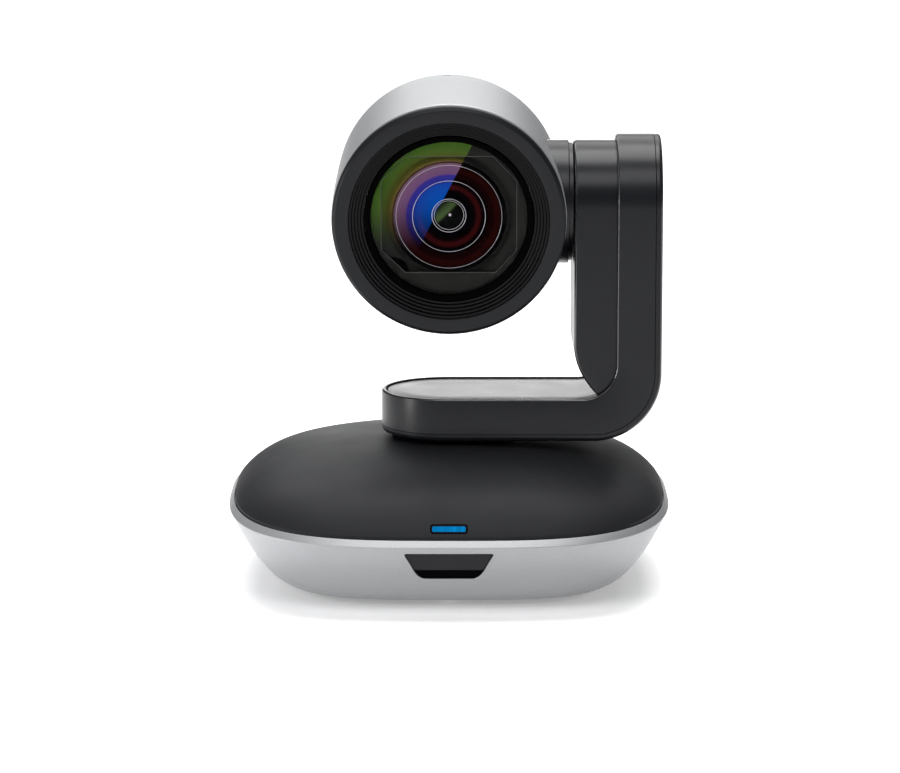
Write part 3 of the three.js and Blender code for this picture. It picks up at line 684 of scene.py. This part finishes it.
def make_underside():
    edge = BOTTOM_OPENING - 0.5
    profile = rounded([(6.3, 1.5, 0.3), (edge, 1.5, 0.3), (edge, 3.3, 0.2), (6.3, 3.3, 0.2)], 4)
    rings = [squircle_loop(r, z, wall_exponent(z) if r > 10 else 2, SIDES) for r, z in profile]
    plate = build("bottom_plate", rings, "black", True)
    for place in FOOT_PLACES:
        hole = [(0, 0), (5.3, 0), (5.3, 2.1), (0, 2.1)]
        cut(plate, turned("foot_cut", hole, "black", "z", place, 48, False))
    for place in SCREW_PLACES:
        hole = [(0, 0), (2.6, 0), (2.6, 2.4), (1.5, 2.4), (1.5, 5), (0, 5)]
        cut(plate, turned("screw_cut", hole, "black", "z", place, 32, False))
    add_piece(plate, "base", "black_plastic", "base_bottom_plate")
    steps = [(0, 0.5), (2.2, 0.5, 0.1), (2.4, 0, 0.15), (4.6, 0, 0.4), (5, 0.5, 0.2), (5, 1.8, 0.1), (0, 1.8)]
    for i, place in enumerate(FOOT_PLACES):
        foot = turned(f"rubber_foot_{i + 1}", rounded(steps, 4, ring=False), "rubber", "z", place, 64, False)
        add_piece(foot, "base", "rubber", f"foot_{i + 1}")
    thread = [(3.1 + (0.22 if k % 2 else 0.0), 1.7 + k * 0.35) for k in range(20)]
    profile = [*thread, (3.1, 9.0), (6.0, 9.0), (6.0, 5.0), (8.5, 5.0), (8.5, 3.6), (6.0, 3.6)]
    profile += [(6.0, 1.7), (5.8, 1.5), (3.4, 1.5)]
    insert = turned("tripod_socket", profile, "brass", "z", sides=96, sharp=50)
    add_piece(insert, "base", "brass", "tripod_insert")
    profile = [(0, 1.6), (2.3, 1.6, 0.2), (2.3, 2.3, 0.1), (1.2, 2.3), (1.2, 5.0, 0.2), (0, 5.0)]
    for i, (x, y) in enumerate(SCREW_PLACES):
        head = rounded(profile, 4, ring=False)
        screw = turned(f"cross_screw_{i + 1}", head, "steel", "z", (x, y), 40, False)
        for half_x, half_y in ((0.28, 1.5), (1.5, 0.28)):
            arm = rectangle((x - half_x, x + half_x), (y - half_y, y + half_y), 0)
            cut(screw, cutter("cross_cut", arm, (1.0, 2.05), "xy"))
        add_piece(screw, "base", "steel", f"plate_screw_{i + 1}")


def make_ports():
    tray = prism("port_tray", rectangle((-21, 21), (6.5, 19.3), 1.0, 5), (49.0, 64.0), "black")
    cut(tray, cutter("pocket", rectangle((-19.4, 19.4), (7.9, 17.7), 0.8, 5), (50.6, 80.0)))
    hole = [(0, 45), (4.2, 45), (4.2, 55), (0, 55)]
    cut(tray, turned("jack_hole", hole, "black", "y", JACK_PLACE, 48, False))
    cut(tray, cutter("data_hole", rectangle((-1.5, 11.9), (9.9, 15.7), 0.6), (45, 55)))
    cut(tray, cutter("lock_hole", rectangle((14.5, 17.3), (9.3, 16.3), 0.9), (45, 55)))
    hull = [(0.0, 1.9), *reversed(outer_wall(0.3)), (0.0, LIP_OUTER_Z)]
    hull_rings = [squircle_loop(r, z, wall_exponent(z), SIDES) for r, z in hull]
    cut(tray, build("inside_wall", hull_rings, "black"), "INTERSECT")
    add_piece(tray, "base", "black_plastic", "port_panel")

    profile = [(0, 41.5), (2.75, 41.5, 0.2), (2.75, 49.8, 0.2), (3.0, 50.2, 0.1), (3.8, 50.2, 0.2)]
    profile += [(3.8, 48.7), (4.6, 48.7, 0.2), (4.6, 40.0, 0.3), (0, 40.0)]
    jack = turned("power_jack", rounded(profile, 4, ring=False), "gloss", "y", JACK_PLACE, 72, False)
    add_piece(jack, "base", "gloss_black", "dc_jack")
    profile = rounded([(0, 41.0), (0.8, 41.0), (0.8, 49.2, 0.5), (0, 49.5)], 5, ring=False)
    pin = turned("power_pin", profile, "steel", "y", JACK_PLACE, 32, False)
    add_piece(pin, "base", "steel")
    shell = prism("data_shell", rectangle((-1.2, 11.6), (10.2, 15.4), 0.5), (39.8, 50.4), "steel")
    cut(shell, cutter("data_mouth", rectangle((-0.75, 11.15), (10.65, 14.95), 0.3), (41, 52)))
    add_piece(shell, "base", "steel", "data_port")
    tongue = prism("data_tongue", rectangle((0.4, 10.0), (12.9, 14.3), 0.2, 3), (40.9, 49.4), "black")
    add_piece(tongue, "base", "black_plastic")


# ---------- arm
# The arm is a strip bent along an L. s runs along its outer side from under the pan axis, y across it.
OUTER_TURN = (ARM_OUTER_X - ARM_OUTER_FILLET, ARM_BOTTOM_Z + ARM_OUTER_FILLET)
INNER_TURN = (ARM_INNER_X - ARM_INNER_FILLET, ARM_BAR_TOP_Z + ARM_INNER_FILLET)
S_TURN = OUTER_TURN[0]
S_UP = S_TURN + ARM_OUTER_FILLET * math.pi / 2
S_TOP = S_UP + TILT_Z - OUTER_TURN[1]
S_INNER_TURN = INNER_TURN[0]
S_INNER_UP = S_UP + INNER_TURN[1] - OUTER_TURN[1]


def outer_line(s):
    """(point, inward direction) on the arm's outer side, in X and Z."""
    if s <= S_TURN:
        return Vector((s, ARM_BOTTOM_Z)), Vector((0, 1))
    if s <= S_UP:
        angle = (s - S_TURN) / ARM_OUTER_FILLET
        out = Vector((math.sin(angle), -math.cos(angle)))
        return Vector(OUTER_TURN) + out * ARM_OUTER_FILLET, -out
    return Vector((ARM_OUTER_X, OUTER_TURN[1] + s - S_UP)), Vector((-1, 0))


def inner_line(s):
    """(point, inward direction) on the arm's inner side, facing the same stretch of the outer side."""
    if s <= S_INNER_TURN:
        return Vector((s, ARM_BAR_TOP_Z)), Vector((0, -1))
    if s <= S_INNER_UP:
        angle = (s - S_INNER_TURN) / (S_INNER_UP - S_INNER_TURN) * math.pi / 2
        out = Vector((math.sin(angle), -math.cos(angle)))
        return Vector(INNER_TURN) + out * ARM_INNER_FILLET, out
    return Vector((ARM_INNER_X, OUTER_TURN[1] + s - S_UP)), Vector((1, 0))


def arm_stations():
    fine = 26
    turn = [S_INNER_TURN + (S_INNER_UP - S_INNER_TURN) * k / (2 * fine) for k in range(2 * fine + 1)]
    return [0.0, 8.0, 16.0, 24.0, 32.0, *turn, 84.0, 92.0, 100.0, 108.0, 115.0, S_TOP]


def stadium_loop(radius, stations):
    """A closed loop of (s, y) along both sides of the strip and round its two ends."""
    turns = [math.pi * k / ROUND for k in range(1, ROUND)]
    loop = [(s, -radius) for s in stations]
    loop += [(stations[-1] + radius * math.sin(a), -radius * math.cos(a)) for a in turns]
    loop += [(s, radius) for s in reversed(stations)]
    loop += [(stations[0] - radius * math.sin(a), radius * math.cos(a)) for a in turns]
    return loop


def strip_ring(edge_radius, side, depth):
    """One loop of an arm piece, at a depth in from the arm's outer ("o") or inner ("i") side."""
    line = outer_line if side == "o" else inner_line
    ring = []
    for s, y in stadium_loop(edge_radius, arm_stations()):
        point, inward = line(s)
        p = point + inward * depth
        ring.append((p.x, y, p.y))
    return ring


def fillet_steps(radius, count=5):
    """(inset, sink) pairs that round an edge, from the flat towards the side."""
    angles = [math.pi / 2 * k / count for k in range(count + 1)]
    return [(radius * (1 - math.sin(a)), radius * (1 - math.cos(a))) for a in angles]


def make_arm():
    full = ARM_R - 0.05
    loops = [(r, "o", 0.0) for r in (0.0, 6.0, 12.0, 17.0)]
    loops += [(full - inset, "o", sink) for inset, sink in fillet_steps(1.15, 6)]
    loops += [(full, "o", 1.93), (full - 0.05, "o", 1.98), (full - 3, "o", 1.98), (0.0, "o", 1.98)]
    # the rounded edges of the cover, the band and the housing take the edge material with its painted
    # highlight
    cover = build("arm_cover", [strip_ring(*loop) for loop in loops], "arm", edge=("arm_edge", 4, 8))
    add_piece(cover, "arm", "arm_plastic", "arm_outer_cover")

    seat = ARM_R - 1.3
    loops = [(0.0, "o", 2.08), (10.0, "o", 2.08), (ARM_R - 0.08, "o", 2.08), (ARM_R, "o", 2.15)]
    loops += [(ARM_R - inset, "i", sink) for inset, sink in reversed(fillet_steps(0.6, 5))]
    loops += [(seat + inset, "i", sink) for inset, sink in fillet_steps(0.25, 4)]
    loops += [(seat, "i", 1.6), (10.0, "i", 1.6), (0.0, "i", 1.6)]
    band = build("arm_band", [strip_ring(*loop) for loop in loops], "arm", edge=("arm_edge", 5, 9))
    add_piece(band, "arm", "arm_plastic", "arm_frame")

    edge = ARM_R - 1.62
    loops = [(r, "i", 0.35) for r in (0.0, 6.0, 12.0)]
    loops += [(edge - inset, "i", 0.35 + sink) for inset, sink in fillet_steps(0.3, 4)]
    loops += [(edge, "i", 1.45), (0.0, "i", 1.45)]
    plate = build("arm_plate", [strip_ring(*loop) for loop in loops], "plate")
    add_piece(plate, "arm", "arm_plastic")
    make_housing()

    collar = rounded([(7.5, 42.3), (16.8, 42.3, 0.2), (17.4, 42.75, 0.2), (17.4, 43.2, 0.1), (7.5, 43.2)], 3)
    add_piece(turned("pan_ring", collar, "deep", "z"), "arm", "black_plastic", "pan_collar")


def housing_lines():
    """The housing's face and its back line, as (x, z) points from the foot up to the tilt axis."""
    foot_steps = 28
    turn_r, turn_share = ARM_INNER_FILLET + 0.9, 0.7
    back_x = INNER_TURN[0] + turn_r
    corners = ((43.9, 56.6), (40.2, 60.0), (37.0, 65.0), (HOUSING_X, HOUSING_FOOT_Z))
    foot = [Vector(corner) for corner in corners]
    faces, backs = [], []
    for k in range(foot_steps + 1):
        t = k / foot_steps
        shares = ((1 - t) ** 3, 3 * t * (1 - t) ** 2, 3 * t * t * (1 - t), t**3)
        faces.append(sum((point * share for point, share in zip(foot, shares)), Vector((0, 0))))
        if t > turn_share:
            rise = (HOUSING_FOOT_Z - INNER_TURN[1]) * (t - turn_share) / (1 - turn_share)
            backs.append(Vector((back_x, INNER_TURN[1] + rise)))
        else:
            angle = -1.07 * (1 - t / turn_share)
            backs.append(Vector(INNER_TURN) + Vector((math.cos(angle), math.sin(angle))) * turn_r)
    for z in (80.0, 90.0, 100.0, 106.0, TILT_Z):
        faces.append(Vector((HOUSING_X, z)))
        backs.append(Vector((back_x, z)))
    return faces, backs


def make_housing():
    """The tilt housing that swells from the arm's inner side, with a curved foot and rounded edges."""
    faces, backs = housing_lines()
    last = len(faces) - 1

    def ring(radius, depth):
        """depth is millimetres in from the face, or None for the back line."""
        loop = []

        def place(i, y, lift=0.0):
            face, back = faces[i], backs[i]
            reach = (back - face).length
            share = 1.0 if depth is None else (min(depth, 0.8 * reach) / reach if reach > 1e-6 else 0)
            p = face + (back - face) * share
            loop.append((p.x, y, p.y + lift))

        for i in range(last + 1):
            place(i, -radius)
        for k in range(1, ROUND):
            angle = math.pi * k / ROUND
            place(last, -radius * math.cos(angle), radius * math.sin(angle))
        for i in range(last, -1, -1):
            place(i, radius)
        return loop

    loops = [ring(r, 0.0) for r in (0.0, 6.0, 12.0, 16.0)]
    loops += [ring(HOUSING_R - inset, sink) for inset, sink in fillet_steps(0.9, 5)]
    loops += [ring(HOUSING_R, 3.0), ring(HOUSING_R, None), ring(10.0, None), ring(0.0, None)]
    housing = build("tilt_housing", loops, "plate", sharp=30, edge=("arm_edge", 5, 8))
    add_piece(housing, "arm", "arm_plastic", "arm_inner_cover")


def arc_points(centre, radius, start, end, count):
    out = []
    for k in range(count + 1):
        a = math.radians(start + (end - start) * k / count)
        out.append((centre[0] + radius * math.cos(a), centre[1] + radius * math.sin(a)))
    return out


def make_head_shell():
    front = rounded([(32.4, -21.9), (33.8, -21.9, 0.1), (34.2, -21.5, 0.25), (34.2, -18.0)], 4, ring=False)
    side = [(34.2 - 0.8 * (k / 10) ** 1.6, -18.0 + 39.5 * k / 10) for k in range(1, 10)]
    rear = arc_points((24.84, 21.44), 8.5, 0, 88, 18)
    lip = [(24.75, 30.0), (24.6, 29.85), (24.6, 28.2), (22.5, 28.2), (22.5, 26.6)]
    inside = arc_points((24.9, 20.1), 6.5, 90, 0, 8)
    profile = [*front, *side, *rear, *lip, *inside, (32.1, -18.3)]
    shell = head_turned("head_barrel", profile, "silver", sharp=28)
    hole_r = HUB_R + 0.22
    hole = [(0, 20), (hole_r, 20), (hole_r, 40), (0, 40)]
    cut(shell, head_turned("hub_cut", hole, "silver", "x", ring=False), sharp=28)
    notch = rectangle((-1.9, 0.6), (20.6, 21.2), 0.25)
    cut(shell, cutter("notch_cut", notch, (32.6, 36), "xy", HEAD_FRAME), sharp=28)
    add_piece(shell, "head", "silver_paint", "head_shell")


def make_bezel():
    outer, inner, ribs = 29.3, 24.9, 5
    pitch, depth = (outer - inner) / ribs, 0.72
    steps = []
    for k in range(ribs):
        r, y = outer - pitch * k, FACE_Y + depth * k
        steps.append((r, y, 0.12))
        steps.append((r - 0.1, y + depth + 0.12, 0.1))
        steps.append((r - 0.3, y + depth, 0.1))
    corners = [(32, -18.8), (32, -22.2), (34.0, -22.2, 0.05), (34.0, -23.9, 0.5), (33.0, FACE_Y, 0.6), *steps]
    corners += [(inner, FACE_Y + depth * ribs, 0.1), (inner, -18.8)]
    bezel = head_turned("front_ring", rounded(corners, 4), "bezel", sharp=40)
    bezel.data.materials.append(MATERIALS["rib"])
    for polygon in bezel.data.polygons:
        x, _, z = polygon.center
        polygon.material_index = int(math.hypot(x, z) < 29.2 * MM)
    add_piece(bezel, "head", "bezel_plastic", "front_bezel")

    corners = [(23.0, -21.4, 0.1), (23.3, -21.8, 0.15), (24.6, -21.8, 0.15), (24.6, -18.8)]
    corners += [(22.9, -18.8), (22.9, -19.3), (23.0, -19.3)]
    ring = head_turned("glass_retainer", rounded(corners, 4), "deep", sharp=40)
    add_piece(ring, "head", "gloss_black", "glass_ring")


def clear_glass():
    """Coated cover glass: almost clear, with a weak reflection that grows towards its edge."""
    m = Nodes("cover_glass", (0.9, 0.9, 0.92), 0.04)
    clear = m.add("ShaderNodeBsdfTransparent", {"Color": (0.97, 0.97, 0.98, 1)})
    shine = m.add("ShaderNodeBsdfGlossy", {"Roughness": 0.03, "Color": (0.85, 0.95, 1.0, 1)})
    fresnel = m.add("ShaderNodeFresnel", {"IOR": 1.06})
    mix = m.add("ShaderNodeMixShader")
    m.link(m.map_range(fresnel.outputs["Fac"], 0.012, 1.0), mix.inputs["Fac"])
    m.link(clear.outputs["BSDF"], mix.inputs[1])
    m.link(shine.outputs["BSDF"], mix.inputs[2])
    output = next(n for n in m.tree.nodes if n.type == "OUTPUT_MATERIAL")
    m.link(mix.outputs["Shader"], output.inputs["Surface"])
    return m.material


def radius_of(m):
    """The distance from the optical axis, in millimetres, as a node output, with the x and z outputs."""
    split = m.add("ShaderNodeSeparateXYZ")
    m.link(m.place, split.inputs["Vector"])
    flat = m.add("ShaderNodeCombineXYZ")
    m.link(split.outputs["X"], flat.inputs["X"])
    m.link(split.outputs["Z"], flat.inputs["Z"])
    length = m.add("ShaderNodeVectorMath", operation="LENGTH")
    m.link(flat.outputs["Vector"], length.inputs[0])
    radius = m.calculate("MULTIPLY", length.outputs["Value"], 1 / MM)
    return radius, split.outputs["X"], split.outputs["Z"]


def ramp(m, value, display_stops, span):
    """A colour ramp over 0 to span, from (position, 0-255 display colour) stops."""
    stops = [(position, linear(rgb)) for position, rgb in display_stops]
    node = m.add("ShaderNodeValToRGB")
    elements = node.color_ramp.elements
    while len(elements) > 1:
        elements.remove(elements[-1])
    elements[0].position = stops[0][0] / span
    elements[0].color = (*stops[0][1], 1)
    for position, colour in stops[1:]:
        elements.new(position / span).color = (*colour, 1)
    m.link(m.map_range(value, 0.0, span), node.inputs["Fac"])
    return node.outputs["Color"]


def linear(rgb):
    """An 0-255 display colour as the linear numbers that a shader takes."""
    return tuple((c / 255 / 12.92) if c <= 10 else ((c / 255 + 0.055) / 1.055) ** 2.4 for c in rgb)


# painted reflection of a softbox in the lens coating: the colours by distance from the axis where the coating
# catches the light; the stops for the lens in the dark follow below
PAINTED_REFLECTION_STOPS = [
    (0, (6, 72, 165)), (5, (10, 76, 165)), (9.6, (20, 66, 155)), (10.4, (40, 48, 132)),
    (12.2, (50, 44, 130)), (12.8, (104, 72, 108)), (15.8, (112, 82, 104)), (16.5, (92, 74, 46)),
    (17.0, (88, 78, 36)), (18.4, (78, 86, 34)), (20.0, (74, 98, 40)), (23, (66, 100, 36)),
]
LENS_SPAN = 23.0  # the radius in millimetres at which the stops end
MASK_STOPS = [(0, (30, 30, 28)), (17, (38, 38, 35)), (23, (46, 46, 43))]
# the lens's dark glass, with faint red rings of painted coating reflection
OPTIC_STOPS = [
    (0, (4, 4, 6)), (6.3, (4, 4, 6)), (7.6, (12, 4, 4)), (8.2, (48, 12, 14)), (9.2, (46, 10, 10)),
    (9.6, (6, 4, 5)), (11.2, (6, 4, 5)), (11.8, (20, 5, 5)), (12.9, (17, 4, 5)), (13.6, (36, 8, 7)),
    (14.7, (30, 7, 6)), (15.1, (14, 5, 5)), (15.5, (8, 6, 6)), (16.5, (10, 10, 10)), (17.3, (34, 34, 32)),
    (20, (44, 44, 42)),
]


def paint_coating_reflection(m, dark_stops):
    """Dark colours by radius, with a painted coloured reflection of the coating over a wedge of the upper left
    side.
    """
    radius, x, z = radius_of(m)
    dark = ramp(m, radius, dark_stops, LENS_SPAN)
    bright = ramp(m, radius, PAINTED_REFLECTION_STOPS, LENS_SPAN)
    # the wedge's straight edge leans to the right as it rises; positive is to its left
    edge_x = m.calculate("MULTIPLY_ADD", z, 1 / 2.02, (-6.5 + 5.0 / 2.02) * MM)
    side = m.calculate("SUBTRACT", edge_x, x)
    wedge = m.map_range(side, -0.12 * MM, 0.12 * MM, kind="SMOOTHSTEP")
    fade = m.map_range(z, -11 * MM, 7 * MM, kind="SMOOTHSTEP")
    # the wedge mixes in the painted reflection, which fades out towards the bottom
    colour = m.mix(m.calculate("MULTIPLY", wedge, fade), dark, bright)
    m.link(colour, m.shader.inputs["Base Color"])


def lens_part(name, dark_stops, roughness):
    """A part behind the glass: near black, with the coating's painted reflections. Its axes are the lens's
    own.
    """
    m = Nodes(name, (0, 0, 0), roughness, Specular_IOR_Level=0.0)
    paint_coating_reflection(m, dark_stops)
    m.vary_roughness(m.noise(3, 2), 0.04)
    m.bump(m.noise(0.5, 2), 0.008, 0.3)
    return m.material


def pupil_material():
    """The innermost glass: a painted olive reflection in its upper left half."""
    m = Nodes("pupil_glass", (0, 0, 0), 0.15, Specular_IOR_Level=0.02)
    _, x, z = radius_of(m)
    lean = m.calculate("MULTIPLY_ADD", m.calculate("SUBTRACT", z, x), 1 / MM, 2.0)
    # near black, with the painted olive reflection rising towards the upper left
    stops = [(0, (5, 6, 6)), (2.4, (8, 10, 8)), (3.6, (66, 84, 48)), (5.2, (56, 72, 42)), (7, (26, 34, 22))]
    m.link(ramp(m, lean, stops, 7.0), m.shader.inputs["Base Color"])
    m.vary_roughness(m.noise(1.5, 2), 0.03)
    return m.material


def fine_ring(name, radius, y, thickness):
    """A thin bright ring round the optical axis."""
    profile = [(radius + thickness * c, y + thickness * s) for c, s in polygon_points(10)]
    return head_turned(name, profile, "fine", sharp=80)


def make_cover_glass():
    disc = [(0, -19.9), (22.7, -19.9), (22.7, -20.6), (20.0, -20.95), (15.0, -21.3), (9.0, -21.5)]
    disc += [(4.0, -21.58), (0, -21.6)]
    glass = head_turned("cover_glass_disc", disc, clear_glass(), ring=False)
    add_piece(glass, "head", "front_glass", "front_glass")


def make_mask():
    """The plate behind the glass with its eight-sided opening, the bowl behind that, and a flat black crescent
    on the bowl that is painted shade for the bowl's pocket.
    """
    profile = rounded([(0, -19.2), (22.8, -19.2, 0.1), (22.8, -17.6), (0, -17.6)], 3, ring=False)
    plate = head_turned("mask_plate", profile, "mask", ring=False)
    corners = [(-12.7, -16.6), (13.6, -16.6), (19.7, -9.8), (19.7, 10.9)]
    corners += [(12.8, 18.2), (-12.8, 18.2), (-19.7, 10.9), (-19.7, -9.8)]
    opening = rounded([(x, z, 1) for x, z in corners], 5)
    cut(plate, cutter("opening_cut", opening, (-22, -15), matrix=HEAD_FRAME))
    add_piece(plate, "head", "mask_plastic", "lens_mask", own_axes=True)
    # the opening's rim, lighter than the plate as a painted edge highlight
    rim = rim_tube(
        "aperture_edge_highlight", opening, lambda x, z, inset: -19.15, 0.0, 0.11, "aperture", matrix=HEAD_FRAME
    )
    add_piece(rim, "head", "mask_plastic")
    bowl = [(22.6, -17.5), (22.6, -15.5), (16.4, -15.5), (16.4, -18.3), (16.9, -18.5), (17.4, -18.3)]
    bowl += [(18.4, -17.2), (19.8, -17.3)]
    bowl = head_turned("mask_bowl", rounded([(r, y, 0.2) for r, y in bowl], 3), "optic")
    add_piece(bowl, "head", "mask_plastic", own_axes=True)

    # a thin flat black crescent just in front of the bowl: painted shade where the bowl has a pocket
    chord = Vector((-14.35, -15.1))
    pocket = []
    for k in range(25):
        along, bulge = -3.9 + 7.8 * k / 24, 1.85 * (1 - (k / 12 - 1) ** 2)
        pocket.append(chord + Vector((along + bulge, bulge - along)) / math.sqrt(2))
    pocket.append(chord + Vector((-0.9, -0.9)))
    pocket = prism("mask_pocket_shade", pocket, (-17.85, -17.6), "deep", HEAD_FRAME)
    add_piece(pocket, "head", "mask_plastic")


# name, radius, y and thickness of each bright edge round the axis
LENS_RINGS = (
    ("ring_wide", 15.4, -18.55, 0.06),
    ("ring_middle", 10.6, -17.95, 0.075),
    ("ring_narrow", 4.95, -17.0, 0.09),
    ("ring_inner", 4.3, -16.6, 0.07),
)


def make_lens():
    stack = [(0, -16.2), (4.3, -16.2), (4.6, -16.9), (5.4, -17.0), (8.0, -17.2), (10.3, -17.9), (10.9, -17.9)]
    stack += [(13.0, -17.9), (15.2, -18.5), (16.2, -18.5), (16.2, -15.0), (0, -15.0)]
    lens = head_turned("front_lens_stack", stack, "optic", ring=False, sharp=25)
    add_piece(lens, "head", "optical_glass", "front_lens", own_axes=True)
    for ring in LENS_RINGS:
        add_piece(fine_ring(*ring), "head", "steel")
    profile = rounded([(0, -16.9), (1.8, -16.75, 0.5), (3.9, -16.3), (3.9, -16.0), (0, -16.0)], 6, ring=False)
    pupil = head_turned("pupil_lens", profile, "pupil", ring=False)
    add_piece(pupil, "head", "optical_glass", own_axes=True)
    profile = [(0, -17.25), (0.25, -17.18), (0.38, -16.98), (0.38, -16.6), (0, -16.6)]
    glint = head_turned("pupil_glint", profile, "glint", centre=(0.3, 0.2), sides=32, ring=False)
    add_piece(glint, "head", "optical_glass")


def make_head_rest():
    rim = rounded([(0, 28.5), (24.3, 28.5, 0.1), (24.3, 29.4, 0.3), (18, 30.3, 3), (0, 30.6)], 6, ring=False)
    cap = head_turned("rear_cap", rim, "black", ring=False)
    for z in (-4, 0, 4):
        cut(cap, cutter("vent_cut", slot_outline(9, 0.6, z, 0.59), (27, 32), matrix=HEAD_FRAME))
    add_piece(cap, "head", "black_plastic", "head_rear_cap")

    corners = [(4.3, 36.3), (17.4, 36.3, 0.1), (17.4, HUB_X, 0.05), (HUB_R, HUB_X, 0.5), (HUB_R, 24.8, 0.1)]
    corners += [(16.4, 24.8), (16.4, 33), (7, 33), (7, 26), (4.3, 26)]
    hub = head_turned("tilt_drum", rounded(corners, 5), "arm", "x")
    add_piece(hub, "head", "black_plastic", "tilt_hub")


# ---------- the CAD nodes that stay, inside
INNER_FINISH = {
    "board": ("ir_receiver", "main_board", "tilt_driver_board", "sensor_board"),
    "alloy": ("drive_chassis", "pan_shaft", "camera_chassis"),
    "can": ("pan_motor", "tilt_motor", "zoom_motor", "focus_motor"),
    "steel": ("pan_bearing", "tilt_bearing", "guide_rod_1", "guide_rod_2", "tilt_shaft"),
    "gear": ("pan_pinion", "pan_gear", "tilt_pinion", "tilt_gear"),
    "black": ("lens_barrel",),
    "sensor": ("zoom_lens_group", "focus_lens_group", "image_sensor"),
    "brass": ("zoom_screw", "focus_screw"),
}


def finish_inner_nodes():
    finishes = [(node, material) for material, nodes in INNER_FINISH.items() for node in nodes]
    for node, material in finishes:
        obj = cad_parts[node]
        if not obj.material_slots:
            obj.data.materials.append(MATERIALS[material])
        for material_slot in obj.material_slots:
            material_slot.material = MATERIALS[material]


make_camera()
make_stage()
make_materials()
make_lower_shell()
make_dome()
make_front_details()
make_underside()
make_ports()
make_arm()
make_head_shell()
make_bezel()
make_cover_glass()
make_mask()
make_lens()
make_head_rest()
finish_inner_nodes()
